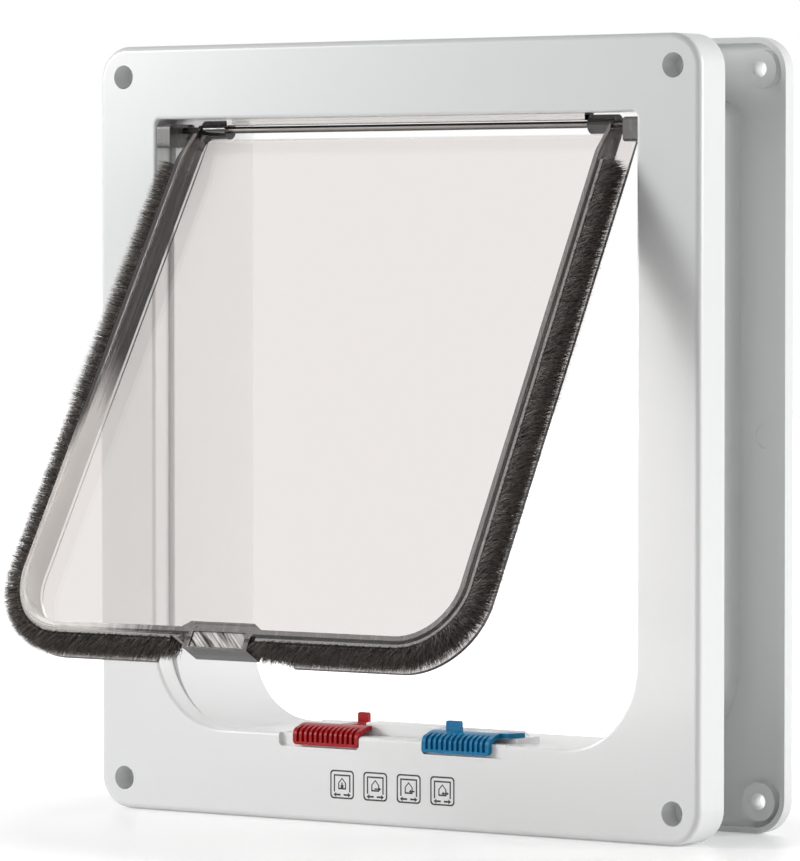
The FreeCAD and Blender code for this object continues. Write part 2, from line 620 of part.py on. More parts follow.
def keeper_magnet():
    """Bar magnet hidden under the skin of its seat in the sill."""
    body = new_body("keeper_magnet")
    start = "(Sizes.sill_start + (Sizes.keeper_seat_depth - Sizes.keeper_depth) / 2)"
    half = "(Sizes.keeper_length / 2)"
    plan = box_corners(minus(half), half, start, f"({start} + Sizes.keeper_depth)")
    level = "(Sizes.tunnel_floor + Sizes.keeper_seat_rise - Sizes.keeper_skin - Sizes.keeper_height)"
    pad(body, "bar", outline(new_sketch(body, "plan", "XY", level), plan), "Sizes.keeper_height")
    return body


def grip_arcs(depth):
    """Centres and radii of the grip's nose and back curves, at a depth under its surface."""
    nose = ("(Sizes.grip_nose_round - Sizes.slider_gap)", "Sizes.grip_nose_height")
    back = ("(Sizes.plate_end - Sizes.plate_flat)", "(Sizes.slider_top - Sizes.grip_back_round)")
    return (
        (*nose, f"(Sizes.grip_nose_round - {depth})"),
        (*back, f"(Sizes.grip_back_round - {depth})"),
    )


def as_hollow(corner):
    """The same arc, turning right along the path."""
    return corner[0], corner[1], minus(corner[2])


def slider(label, side, inner):
    """Hooked finger grip with its plate, grooves and snap foot."""
    body = new_body(label)
    left, right = slider_span(side, inner)
    face = "(-Sizes.slider_gap)"
    nose, back = grip_arcs("0")
    nose_in, back_in = grip_arcs("Sizes.slider_wall")
    under = "(Sizes.slider_top - Sizes.slider_wall)"
    profile = [
        (face, "Sizes.grip_bottom"),
        ("(Sizes.slider_wall - Sizes.slider_gap)", "Sizes.grip_bottom"),
        as_hollow(nose_in),
        as_hollow(back_in),
        ("Sizes.plate_end", under),
        ("Sizes.plate_end", "Sizes.slider_top"),
        back,
        nose,
    ]
    pad(body, "hook", outline(new_sketch(body, "profile", "YZ", left), profile), "Sizes.grip_length")
    low = value("Sizes.grip_bottom")
    ends = (value(left), value(right))

    def lower_corner(box):
        return flat_in(box.ZMin, box.ZMax, low) and any(flat_in(box.XMin, box.XMax, end) for end in ends)

    soften(body, "grip_corners", "Sizes.grip_corner", lower_corner)
    foot(body, side, inner, under)
    return body


def foot(body, side, inner, under):
    """Snap foot that runs in the slot of the lip, with its barb below."""
    out = f"({inner} + Sizes.grip_length - Sizes.foot_inset)"
    inside = f"({out} - Sizes.foot_length)"
    ends = (minus(out), minus(inside)) if side < 0 else (inside, out)
    bottom = "(Sizes.opening_floor - Sizes.lip_wall - Sizes.foot_drop)"
    back = "(Sizes.foot_start + Sizes.foot_thickness)"
    barb = f"({back} + Sizes.barb_reach)"
    barb_top = f"({bottom} + Sizes.barb_height)"
    profile = [
        ("Sizes.foot_start", bottom),
        (back, bottom),
        (barb, barb_top),
        (back, barb_top),
        (back, f"({under} + Sizes.slider_wall / 2)"),
        ("Sizes.foot_start", f"({under} + Sizes.slider_wall / 2)"),
    ]
    sketch = outline(new_sketch(body, "foot_outline", "YZ", ends[0]), profile)
    pad(body, "foot", sketch, "Sizes.foot_length")


def grooves(body, side, inner):
    """Finger grooves across the nose, each running out towards the plate."""
    left, right = slider_span(side, inner)
    nose, back = grip_arcs("Sizes.groove_depth")
    start = "(Sizes.grip_bottom + Sizes.groove_foot)"
    above = "(Sizes.slider_top + 0.4)"
    profile = [
        ("-1", start),
        ("(Sizes.groove_depth - Sizes.slider_gap)", start),
        as_hollow(nose),
        ("(Sizes.grip_nose_round * 2)", above),
        ("-1", above),
    ]
    spread = "((Sizes.groove_count - 1) * Sizes.groove_pitch)"
    first = f"({left} + (Sizes.grip_length - {spread} - Sizes.groove_width) / 2)"
    sketch = outline(new_sketch(body, "groove_outline", "YZ", first), profile)
    groove = pocket(body, "groove", sketch, "Sizes.groove_width")
    pattern = body.newObject("PartDesign::LinearPattern", f"{body.Name}_grooves")
    pattern.Originals = [groove]
    pattern.Direction = (sketch, ["N_Axis"])
    pattern.setExpression("Length", spread)
    pattern.Occurrences = round(value("Sizes.groove_count"))
    body.Tip = pattern
    doc.recompute()


def lock_tab(body, left, width, start):
    """Upright tab that the flap's rear flange meets when the slider is moved out."""
    right = f"({left} + {width})"
    base = "(Sizes.slider_top - Sizes.slider_wall / 2)"
    round_off = "Sizes.tab_round"
    top = f"(Sizes.tab_top - {round_off})"
    corners = [
        (left, base),
        (right, base),
        (f"({right} - {round_off})", top, round_off),
        (f"({left} + {round_off})", top, round_off),
    ]
    sketch = outline(new_sketch(body, "tab_outline", "XZ", start), corners)
    pad(body, "tab", sketch, "Sizes.tab_thickness")


def red_slider():
    """Left lock: its tab stands behind the flap on an arm, and stops it from going in."""
    body = slider("red_slider", -1, "Sizes.red_inner")
    outer = "(Sizes.red_tab_inner + Sizes.red_tab_width)"
    under = "(Sizes.slider_top - Sizes.slider_wall)"
    end = "(Sizes.red_tab_start + Sizes.tab_thickness)"
    plan = box_corners(minus(outer), "-Sizes.red_tab_inner", "(Sizes.plate_end - 0.5)", end)
    pad(body, "arm", outline(new_sketch(body, "arm_plan", "XY", under), plan), "Sizes.slider_wall")
    lock_tab(body, minus(outer), "Sizes.red_tab_width", "Sizes.red_tab_start")
    grooves(body, -1, "Sizes.red_inner")
    return body


def blue_slider():
    """Right lock: its tab stands in front of the flap, and stops it from going out."""
    body = slider("blue_slider", 1, "Sizes.blue_inner")
    start = "(Sizes.blue_inner + Sizes.grip_length)"
    under = "(Sizes.slider_top - Sizes.slider_wall)"
    plan = [
        (f"({start} - 4)", "Sizes.tail_start"),
        (f"({start} + Sizes.tail_shoulder)", "Sizes.tail_start"),
        (f"({start} + Sizes.tail_reach)", "Sizes.tail_end"),
        (f"({start} - 1)", "Sizes.tail_end"),
    ]
    pad(body, "tail", outline(new_sketch(body, "tail_plan", "XY", under), plan), "Sizes.slider_wall")
    lock_tab(body, "Sizes.blue_tab_inner", "Sizes.blue_tab_width", "Sizes.blue_tab_start")
    grooves(body, 1, "Sizes.blue_inner")
    return body


def hinge_rod():
    """Steel rod that the flap swings on."""
    body = new_body("hinge_rod")
    reach = f"({BLOCK_FACE} + Sizes.rod_seat)"
    sketch = new_sketch(body, "section", "YZ", minus(reach))
    circles(sketch, [("Sizes.hinge_depth", HINGE_HEIGHT)], "Sizes.rod_radius")
    pad(body, "rod", sketch, f"({reach} * 2)")
    return body


def hinge_block(label, side):
    """Dark block in an upper corner of the opening, stepped round the lip, with the rod's bore."""
    body = new_body(label)
    top = "(Sizes.opening_top - Sizes.block_drop)"
    low = f"({top} - Sizes.block_height)"
    back = "(Sizes.block_start + Sizes.block_depth)"
    wide = f"({TUNNEL_HALF} - {BLOCK_FACE})"
    step = f"({OPENING_HALF} - {TUNNEL_HALF})"
    inner_start = BLOCK_FACE if side > 0 else minus(TUNNEL_HALF)
    step_start = TUNNEL_HALF if side > 0 else minus(OPENING_HALF)
    corners = box_corners("Sizes.block_start", back, low, top)
    pad(body, "body", outline(new_sketch(body, "body_outline", "YZ", inner_start), corners), wide)
    front = box_corners("Sizes.block_start", "Sizes.lip_depth", low, top)
    pad(body, "step", outline(new_sketch(body, "step_outline", "YZ", step_start), front), step)
    rear = value(back)
    first = value("Sizes.block_start")

    def upright(box):
        across = box.XLength > 1 and near(box.YLength, 0) and near(box.ZLength, 0)
        return across and (near(box.YMin, rear) or near(box.YMin, first))

    soften(body, "corners", "Sizes.block_round", upright)
    axis = [("Sizes.hinge_depth", HINGE_HEIGHT)]
    deep = "(Sizes.rod_seat + Sizes.rod_clearance)"
    bore_start = BLOCK_FACE if side > 0 else f"(-{BLOCK_FACE} - {deep})"
    bore = circles(new_sketch(body, "bore_outline", "YZ", bore_start), axis, ROD_BORE)
    pocket(body, "bore", bore, deep)
    recess_start = BLOCK_FACE if side > 0 else f"(-{BLOCK_FACE} - Sizes.block_recess_depth)"
    recess = new_sketch(body, "recess_outline", "YZ", recess_start)
    circles(recess, axis, "Sizes.block_recess_radius")
    pocket(body, "recess", recess, "Sizes.block_recess_depth")
    return body


def header_strip():
    """Smoky strip that closes the gap above the rod, between the flap's barrels."""
    body = new_body("header_strip")
    half = f"({BARREL_START} - Sizes.header_gap)"
    low = "(Sizes.opening_top - Sizes.header_height)"
    back = "(Sizes.header_start + Sizes.header_depth)"
    corners = box_corners("Sizes.header_start", back, low, "Sizes.opening_top")
    pad(body, "strip", outline(new_sketch(body, "section", "YZ", minus(half)), corners), f"({half} * 2)")
    bottom = value(low)
    long = value(half)
    soften(
        body,
        "lower_edges",
        "Sizes.header_round",
        lambda box: flat_in(box.ZMin, box.ZMax, bottom) and box.XLength > long,
    )
    return body


def rim_outline(grow, top):
    """Tapered U of the flap's rim, grown outwards from its inner face, up to a height above the axis."""
    low = "(-Sizes.rim_corner_down)"
    radius = f"(Sizes.rim_corner + {grow})"
    half = f"({RIM_HALF} + {grow})"
    return [
        (minus(half), top),
        (minus(RIM_CORNER), low, radius),
        (RIM_CORNER, low, radius),
        (half, top),
    ]


def add_rim(body, name, start, length, corners, make):
    """One layer of the flap, along the hinge's front to back direction."""
    sketch = outline(new_sketch(body, name + "_outline", "XZ", start), corners)
    return make(body, name, sketch, length)


def arm_tapers():
    """What is cut from both sides of the arms so that they clear the ceiling."""
    return arm_taper("Sizes.rim_back"), flipped(arm_taper("Sizes.rim_front"))


def arm_taper(full):
    """The wedge beside one face of the arms, from their full depth to their slim end."""
    slim, far = "Sizes.arm_slim", f"({full} + {MARGIN})"
    low, high = "-Sizes.arm_taper_end", "Sizes.hub_radius"
    return [(full, low), (far, low), (far, high), (slim, high), (slim, "0")]


def flap_panel():
    """Smoky clear moulding: pane, channel rim with two flanges, barrels and magnet housing."""
    body = new_flap_body("flap_panel")
    front = "(-Sizes.rim_front)"
    flange = "Sizes.rim_flange"
    add_rim(body, "channel", front, RIM_DEPTH, rim_outline("Sizes.rim_floor", "0"), pad)
    proud = "(Sizes.rim_floor + Sizes.front_flange_rise)"
    add_rim(body, "front_flange", front, flange, rim_outline(proud, "0"), pad)
    low = "(-Sizes.rear_corner_down)"
    rear = [
        (minus(FLANGE_HALF), "0"),
        (minus(FLANGE_CORNER), low, "Sizes.rear_corner"),
        (FLANGE_CORNER, low, "Sizes.rear_corner"),
        (FLANGE_HALF, "0"),
    ]
    add_rim(body, "rear_flange", CHANNEL_BACK, flange, rear, pad)
    floor, relief = minus(CHANNEL_FLOOR), "-Sizes.relief_down"
    below = f"-(Sizes.relief_down + {MARGIN})"
    notch = [
        ("-Sizes.notch_left", below),
        ("Sizes.relief_right", below),
        ("Sizes.relief_right", relief),
        ("Sizes.notch_right", relief),
        ("Sizes.notch_right", floor),
        ("-Sizes.notch_left", floor),
    ]
    add_rim(body, "notch", CHANNEL_BACK, flange, notch, pocket)
    add_rim(body, "inside", front, RIM_DEPTH, rim_outline("0", MARGIN), pocket)
    front_face = value(front)
    inside_half = value(f"{RIM_CORNER} + Sizes.rim_corner + Sizes.rim_floor / 2")
    soften(
        body,
        "inner_edge",
        "Sizes.rim_round",
        lambda box: flat_in(box.YMin, box.YMax, front_face) and inner_edge(body, box, inside_half),
    )
    sketch = new_sketch(body, "taper_outline", "YZ", minus(OPENING_HALF))
    for corners in arm_tapers():
        outline(sketch, corners)
    pocket(body, "tapers", sketch, "Sizes.opening_width")
    housing(body, front)
    pane = rim_outline("(Sizes.rim_floor / 2)", "-Sizes.pane_top")
    add_rim(body, "pane", "Sizes.pane_start", "Sizes.pane_thickness", pane, pad)
    barrels(body)
    depth = "(Sizes.magnet_depth + Sizes.magnet_set_back)"
    add_rim(body, "window", front, depth, window_corners("0"), pocket)
    return body


def inner_edge(body, box, half):
    """True for an edge of the rim's inner outline, which lies inside the channel floor."""
    limit = value(RIM_BOTTOM)
    return abs(box.XMin) < half and abs(box.XMax) < half and box.ZMin > -limit - 0.1 and box.ZMax < -1


def window_corners(shrink):
    """Outline of the magnet's window, set in by a clearance."""
    half = f"(Sizes.window_half - {shrink})"
    low = f"(Sizes.window_floor - Sizes.housing_bottom + {shrink})"
    return box_corners(minus(half), half, low, f"(-{CHANNEL_FLOOR} - {shrink})")


def housing(body, front):
    """Magnet housing in the middle of the rim's lower side, with sloped shoulders above."""
    half, wide = "Sizes.housing_half", "(Sizes.housing_half + Sizes.housing_shoulder)"
    rim = f"(-{RIM_BOTTOM} - Sizes.rim_floor / 2)"
    shoulder = f"(-{RIM_BOTTOM})"
    corners = [
        (minus(half), "-Sizes.housing_bottom"),
        (half, "-Sizes.housing_bottom"),
        (half, rim),
        (wide, rim),
        (wide, shoulder),
        (half, f"({shoulder} + Sizes.housing_rise)"),
        (minus(half), f"({shoulder} + Sizes.housing_rise)"),
        (minus(wide), shoulder),
        (minus(wide), rim),
        (minus(half), rim),
    ]
    add_rim(body, "housing", front, "(Sizes.rim_front + Sizes.pane_start)", corners, pad)


def flipped(corners):
    """The same outline on the other side of the middle."""
    return [(minus(corner[0]), *corner[1:]) for corner in reversed(corners)]


def barrels(body):
    """Barrels round the rod inside both arms, their hollow corners, and the rod's bore."""
    axis = [("0", "0")]
    length = "(Sizes.barrel_length + Sizes.rim_floor / 2)"
    inner = RIM_HALF
    root = "(-Sizes.gusset_root)"
    high = "(-Sizes.hub_radius / 2)"
    centre = f"({inner} - Sizes.gusset_round)"
    down = f"({root} - Sizes.gusset_round)"
    wall = f"({inner} + Sizes.rim_floor / 2)"
    corners = [
        (wall, f"({down} - Sizes.gusset_round / 4)"),
        (wall, high),
        (f"({centre} - Sizes.gusset_round / 2)", high),
        (f"({centre} - Sizes.gusset_round / 2)", root),
        (centre, down, "(-Sizes.gusset_round)"),
        (inner, f"({down} - Sizes.gusset_round / 4)"),
    ]
    for name, plate in (("right", corners), ("left", flipped(corners))):
        sketch = new_sketch(body, f"{name}_gusset_outline", "XZ", "(-Sizes.gusset_depth / 2)")
        pad(body, f"{name}_gusset", outline(sketch, plate), "Sizes.gusset_depth")
    for name, start in (("right", BARREL_START), ("left", minus(wall))):
        ring = circles(new_sketch(body, f"{name}_barrel_outline", "YZ", start), axis, "Sizes.hub_radius")
        pad(body, f"{name}_barrel", ring, length)
    bore = circles(new_sketch(body, "bore_outline", "YZ", minus(OPENING_HALF)), axis, ROD_BORE)
    pocket(body, "bore", bore, "Sizes.opening_width")


def flap_magnet():
    """Bright bar magnet in the flap's lower edge."""
    body = new_flap_body("flap_magnet")
    start = "(Sizes.magnet_set_back - Sizes.rim_front)"
    add_rim(body, "bar", start, "Sizes.magnet_depth", window_corners("Sizes.magnet_gap"), pad)
    return body


def strip_path(body, side, end):
    """Line along the channel floor: down an arm, round the corner and along the lower side."""
    grow = "(Sizes.rim_floor + Sizes.strip_gap)"
    radius = f"(Sizes.rim_corner + {grow})"
    start = strip_across(grow)
    bottom = f"(-Sizes.rim_corner_down - {radius})"
    if side > 0:
        corners = [
            (start, "-Sizes.strip_start"),
            (RIM_CORNER, "-Sizes.rim_corner_down", minus(radius)),
            (end, bottom),
        ]
    else:
        corners = [
            (minus(start), "-Sizes.strip_start"),
            (minus(RIM_CORNER), "-Sizes.rim_corner_down", radius),
            (minus(end), bottom),
        ]
    return outline(new_sketch(body, "path", "XZ", CHANNEL_MIDDLE), corners, closed=False)


def strip_across(grow):
    """Half width of the tapered rim, grown outwards, at the upper end of the strips."""
    spread = f"({RIM_CORNER} + Sizes.rim_corner - {RIM_HALF})"
    return f"({RIM_HALF} + {grow} + {spread} * Sizes.strip_start / Sizes.rim_corner_down)"


def swept(body, side, end, corners):
    """A section carried along the strip's path."""
    floor = strip_across("(Sizes.rim_floor + Sizes.strip_gap)")
    section = new_sketch(body, "section", "XY", "-Sizes.strip_start")
    placed = []
    for corner in corners if side > 0 else reversed(corners):
        across = f"({floor} + {corner[0]})"
        along = f"({CHANNEL_MIDDLE} + ({corner[1]}))"
        placed.append((across if side > 0 else minus(across), along, *corner[2:]))
    outline(section, placed)
    path = strip_path(body, side, end)
    feature = body.newObject("PartDesign::AdditivePipe", f"{body.Name}_run")
    feature.Profile = section
    feature.Spine = (path, [])
    doc.recompute()


def brush_backing(label, side, end):
    """Woven backing of the draught strip: a flat tape with its two edges standing up."""
    body = new_flap_body(label)
    half = f"({CHANNEL_HALF} - Sizes.strip_gap)"
    inside = f"({half} - Sizes.backing_edge)"
    rise = "(Sizes.backing_rise - Sizes.strip_gap)"
    thick = "Sizes.backing_thickness"
    corners = [
        ("0", minus(half)),
        (rise, minus(half)),
        (rise, minus(inside)),
        (thick, minus(inside)),
        (thick, inside),
        (rise, inside),
        (rise, half),
        ("0", half),
    ]
    swept(body, side, end, corners)
    return body


def brush_pile(label, side, end):
    """Envelope of the pile: round-topped, leaning forward, and parted low over a lock tab."""
    body = new_flap_body(label)
    half = f"({CHANNEL_HALF} - Sizes.strip_gap * 2 - Sizes.backing_edge)"
    root = "Sizes.backing_thickness"
    dome_round = f"({half} - Sizes.pile_lean / 2)"
    centre = f"(Sizes.pile_reach - Sizes.strip_gap - {dome_round})"
    corners = [
        (root, minus(half)),
        ("Sizes.backing_rise", minus(half)),
        (centre, "-(Sizes.pile_lean + Sizes.strip_gap)", dome_round),
        (centre, "-(Sizes.pile_lean - Sizes.strip_gap)", dome_round),
        (root, half),
    ]
    swept(body, side, end, corners)
    lock = "red" if side < 0 else "blue"
    far = f"(Sizes.{lock}_tab_inner + Sizes.{lock}_tab_width + Sizes.tab_round * 2)"
    close = f"({end} - {MARGIN})"
    ends = (close, far) if side > 0 else (minus(far), minus(close))
    below = f"-(Sizes.relief_down + {MARGIN})"
    corners = box_corners(*ends, below, "-Sizes.relief_down")
    parting = outline(new_sketch(body, "parting_outline", "XZ", "(-Sizes.rim_front)"), corners)
    pocket(body, "parting", parting, RIM_DEPTH)
    return body


bodies = [
    front_frame(),
    tunnel_liner(),
    rear_frame(),
    threshold_bar(),
    keeper_magnet(),
    red_slider(),
    blue_slider(),
    hinge_rod(),
    hinge_block("hinge_block_left", -1),
    hinge_block("hinge_block_right", 1),
    header_strip(),
    flap_panel(),
    flap_magnet(),
    brush_backing("brush_backing_left", -1, "Sizes.strip_left_end"),
    brush_backing("brush_backing_right", 1, "Sizes.strip_right_end"),
    brush_pile("brush_pile_left", -1, "Sizes.strip_left_end"),
    brush_pile("brush_pile_right", 1, "Sizes.strip_right_end"),
]
doc.recompute()

for item in doc.Objects:
    if "Invalid" in item.State or "Error" in item.State:
        raise RuntimeError(f"{item.Name} failed: {item.State}")
for body in bodies:
    if body.Shape.isNull() or not body.Shape.isValid():
        raise RuntimeError(f"{body.Label} has no valid shape")

os.makedirs("parts", exist_ok=True)
for body in bodies:
    body.Shape.exportStep(f"parts/{body.Label}.step")
    box = body.Shape.BoundBox
    print(
        f"{body.Label}: {len(body.Shape.Solids)} solid, {body.Shape.Volume:.0f} mm3, "
        f"X {box.XMin:.1f} {box.XMax:.1f}, Y {box.YMin:.1f} {box.YMax:.1f}, Z {box.ZMin:.1f} {box.ZMax:.1f}"
    )
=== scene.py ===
"""Looks of a four-way locking cat flap, laid out as a Blender add-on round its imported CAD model.

Metres, in the CAD model's frame: X to the right along the front face, Y into the door and Z up,
from the middle of the front frame's standing edge. What the flap carries is placed in the flap's
own u, v and w: along the hinge, down from its axis and through the flap from front to back.
"""
import json
import math

import bmesh
import bpy
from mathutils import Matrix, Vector


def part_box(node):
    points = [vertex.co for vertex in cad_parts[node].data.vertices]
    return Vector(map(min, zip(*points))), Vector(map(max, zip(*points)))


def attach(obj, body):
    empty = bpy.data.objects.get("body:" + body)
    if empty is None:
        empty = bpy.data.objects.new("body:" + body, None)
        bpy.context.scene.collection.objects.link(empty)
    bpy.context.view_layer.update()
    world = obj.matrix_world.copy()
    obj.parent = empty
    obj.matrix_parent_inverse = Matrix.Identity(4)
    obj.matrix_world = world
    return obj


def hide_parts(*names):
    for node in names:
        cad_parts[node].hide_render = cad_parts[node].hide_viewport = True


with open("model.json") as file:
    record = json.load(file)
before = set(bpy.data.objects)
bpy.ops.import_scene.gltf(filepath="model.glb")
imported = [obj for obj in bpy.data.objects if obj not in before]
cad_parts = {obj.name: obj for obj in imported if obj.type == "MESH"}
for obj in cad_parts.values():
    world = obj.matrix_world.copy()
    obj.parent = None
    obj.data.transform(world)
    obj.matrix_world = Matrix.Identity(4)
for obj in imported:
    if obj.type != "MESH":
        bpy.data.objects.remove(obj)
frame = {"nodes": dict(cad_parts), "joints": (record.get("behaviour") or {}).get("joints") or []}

bl_info = {
    "name": "Cat flap",
    "version": (1, 0, 0),
    "blender": (4, 5, 0),
    "location": "3D View > Sidebar > Cat flap",
    "description": "Plastics, pile draught strip, printed marks and studio of a cat flap",
    "category": "Object",
}

MM = 0.001
# How far the flap is swung out towards the viewer at rest.
LEAN = math.radians(30)
SIDES = (("left", -1), ("right", 1))
HINGE = next(joint for joint in frame["joints"] if joint["name"] == "flap_hinge")
WHITE_MOULDINGS = ("front_frame", "tunnel_liner", "rear_frame", "threshold_bar")

# Name, place, target, width and height in metres, and watts.
LAMPS = (
    ("Key", (-1.12, -0.93, 0.52), (0, 0, 0.15), (0.45, 0.45), 13),
    ("Side", (2.0, 0.36, 0.3), (0, 0, 0.12), (0.5, 0.6), 4.8),
    ("Rear", (1.5, 0.9, 0.6), (0, 0, 0.12), (0.8, 0.8), 17.5),
)


def linear(code):
    """Linear red, green, blue and alpha of an sRGB hex colour."""
    parts = [int(code[i : i + 2], 16) / 255 for i in (1, 3, 5)]
    return (*(c / 12.92 if c <= 0.04045 else ((c + 0.055) / 1.055) ** 2.4 for c in parts), 1.0)


def length_property(name, description, millimetres):
    """A length that the user sees in the scene's units."""
    return bpy.props.FloatProperty(
        name=name, description=description, default=millimetres * MM, unit="LENGTH", precision=5
    )


def colour_property(name, description, code):
    """A colour that the user picks, from its sRGB hex default."""
    return bpy.props.FloatVectorProperty(
        name=name, description=description, default=linear(code), size=4, subtype="COLOR", min=0, max=1
    )


class CatFlapColours(bpy.types.PropertyGroup):
    """Colours of the plastics, the strip and the print."""

    white: colour_property("White ABS", "Frames, tunnel and sill", "#EEEFEF")
    red: colour_property("Red ABS", "Lock that stops the flap from going in", "#A30A14")
    blue: colour_property("Blue ABS", "Lock that stops the flap from going out", "#0A76A6")
    pane: colour_property("Pane", "What the clear pane lets through", "#EBE6E4")
    smoke: colour_property("Smoke", "What the thick parts of the rim let through", "#3C3836")
    wall: colour_property("Wall", "What the wall of the rim lets through", "#37322F")
    # Painted light: the pale lower left corner of the rim and wall, and the pale glints in their streaks.
    painted_light: colour_property("Haze", "Pale haze of the rim about its lower left corner", "#EFECE9")
    header: colour_property("Header strip", "What the strip above the rod lets through", "#D5D1CE")
    block: colour_property("Block", "Hazy smoke of the hinge blocks", "#8E8A87")
    pile: colour_property("Pile", "Lit tips of the pile", "#AFA399")
    # This colour also paints shade at the roots of the pile.
    pile_shade: colour_property("Pile shade", "Darker fibres between them", "#302A27")
    selvage: colour_property("Selvage", "Woven edges of the strip", "#C9C5C1")
    ink: colour_property("Ink", "Printed marks", "#1E1E20")


class CatFlapStrip(bpy.types.PropertyGroup):
    """Draught strip round the flap, in the flap's own u, v and w."""

    top_half: length_property("Top half width", "Inside half width of the rim at the axis", 80.1)
    corner_across: length_property("Corner across", "Middle to the corner centres", 65.0)
    corner_down: length_property("Corner down", "Axis to the corner centres", 164.4)
    corner: length_property("Corner radius", "Inside corner radius of the rim", 18.0)
    floor: length_property("Channel floor", "Rim's inside to the strip's back", 1.6)
    start: length_property("Start", "Axis to the upper ends of the strip", 16.0)
    left_end: length_property("Left end", "Middle to the end of the left strip", 20.0)
    right_end: length_property("Right end", "Middle to the end of the right strip", 13.2)
    middle: length_property("Middle", "Middle of the strip behind the hinge axis", -1.7)
    pile_half: length_property("Pile half width", "Middle of the strip to the pile's edge", 3.3)
    root: length_property("Root", "Strip's back to the roots of the pile", 0.7)
    reach: length_property("Reach", "Strip's back to the tips of the pile", 8.8)
    forward: length_property("Forward", "Tips in the middle of the pile in front of their roots", 2.0)
    splay: bpy.props.FloatProperty(
        name="Splay",
        description="Width of the pile at its tips over that at its roots",
        default=1.7,
        min=1,
        max=2,
    )
    parted: length_property("Parted reach", "The same where a lock's tab passes", 7.0)
    left_parting: length_property("Left parting", "Middle to the end of the left parting", 26.3)
    right_parting: length_property("Right parting", "Middle to the end of the right parting", 25.0)
    fibre: length_property("Fibre radius", "Root radius of a bundle of fibres", 0.17)
    crimp: length_property("Crimp", "How far a bundle bows out halfway up", 0.5)
    density: bpy.props.FloatProperty(
        name="Density",
        description="Bundles of fibres in a square millimetre",
        default=13.0,
        min=1,
        max=40,
    )
    edge_across: length_property("Edge across", "Middle of the strip to its woven edges", 3.7)
    edge_rise: length_property("Edge rise", "Strip's back to the top of those edges", 2.7)
    thread: length_property("Thread", "Radius of the threads of the woven edges", 0.26)
    thread_pitch: length_property("Thread pitch", "Spacing of those threads", 1.05)
    seed: bpy.props.IntProperty(name="Seed", description="Fixed seed of the pile", default=7, min=0)


class CatFlapMarks(bpy.types.PropertyGroup):
    """Four printed marks that show how the locks stand."""

    left: length_property("Left", "Middle to the left edge of the first mark", -23.2)
    top: length_property("Top", "Height of the upper edges", 17.0)
    pitch: length_property("Pitch", "Spacing of the marks", 13.13)
    size: length_property("Size", "Width and height of a mark", 9.4)
    line: length_property("Line", "Width of the printed lines", 0.5)
    film: length_property("Film", "Thickness of the ink", 0.03)


def swung(u, v, w):
    """Place in the model's frame of a point that is known in the flap's u, v and w."""
    axis = Vector(HINGE["pos_m"])
    down = Vector((0, -math.sin(LEAN), -math.cos(LEAN)))
    through = Vector((0, math.cos(LEAN), -math.sin(LEAN)))
    return axis + Vector((u, 0, 0)) + down * v + through * w


def add(tree, kind, links=(), **settings):
    """A node with its settings, its input values and its links, each (socket, value or output)."""
    node = tree.nodes.new(kind)
    for name, setting in settings.items():
        setattr(node, name, setting)
    for socket, source in dict(links).items():
        if isinstance(source, bpy.types.NodeSocket):
            tree.links.new(source, node.inputs[socket])
        else:
            node.inputs[socket].default_value = source
    return node


def blank_material(name):
    """A material with an empty tree, and that tree."""
    material = bpy.data.materials.new(name)
    material.use_nodes = True
    material.node_tree.nodes.clear()
    return material, material.node_tree


def object_noise(tree, grain, detail=2.0, stretch=(1, 1, 1), turn=(0, 0, 0)):
    """Noise on Object coordinates whose grain is a real size in metres."""
    place = add(tree, "ShaderNodeTexCoord").outputs["Object"]
    turned = add(tree, "ShaderNodeMapping", {"Vector": place, "Rotation": turn})
    pulled = add(tree, "ShaderNodeMapping", {"Vector": turned.outputs[0], "Scale": stretch})
    links = {"Vector": pulled.outputs[0], "Scale": 1 / grain, "Detail": detail}
    return add(tree, "ShaderNodeTexNoise", links).outputs["Fac"]


def ranged(tree, factor, low, high, span=(0.3, 0.7)):
    """A factor, by default a noise, carried over to another range."""
    links = {"Value": factor, "From Min": span[0], "From Max": span[1], "To Min": low, "To Max": high}
    return add(tree, "ShaderNodeMapRange", links).outputs["Result"]


def bumped(tree, height, depth):
    """A normal from a height pattern whose full depth is in metres."""
    links = {"Height": height, "Distance": depth, "Strength": 1.0}
    return add(tree, "ShaderNodeBump", links).outputs["Normal"]


def two_tone(tree, factor, first, second):
    """A colour between two, by a factor."""
    mix = add(tree, "ShaderNodeMix", {0: factor, 6: first, 7: second}, data_type="RGBA")
    return mix.outputs[2]


def finished(material, tree, links):
    """The material with one Principled shader of these values and links as its surface."""
    shader = add(tree, "ShaderNodeBsdfPrincipled", links)
    add(tree, "ShaderNodeOutputMaterial", {"Surface": shader.outputs[0]})
    return material


def moulded_abs(name, colour, roughness=0.24, index=1.54):
    """ABS from a polished mould: an even colour, a soft gloss and the faint ripple of the steel.

    The locks take a lower index than ABS has, which keeps white reflections from paling their colour.
    """
    material, tree = blank_material(name)
    ripple = object_noise(tree, 4 * MM)
    links = {
        "Base Color": tuple(colour),
        "IOR": index,
        "Roughness": ranged(tree, object_noise(tree, 3 * MM), roughness - 0.01, roughness + 0.01),
        "Normal": bumped(tree, ripple, 0.003 * MM),
    }
    return finished(material, tree, links)


def smoked_clear(name, tint, roughness=0.03, clarity=1.0):
    """Smoky clear SAN: what lies behind it shows through the tint, or more dimly where it is hazy."""
    material, tree = blank_material(name)
    links = {
        "Base Color": tuple(tint),
        "IOR": 1.57,
        "Transmission Weight": clarity,
        "Roughness": ranged(tree, object_noise(tree, 9 * MM), roughness - 0.01, roughness + 0.02),
        "Normal": bumped(tree, object_noise(tree, 6 * MM), 0.002 * MM),
    }
    return finished(material, tree, links)


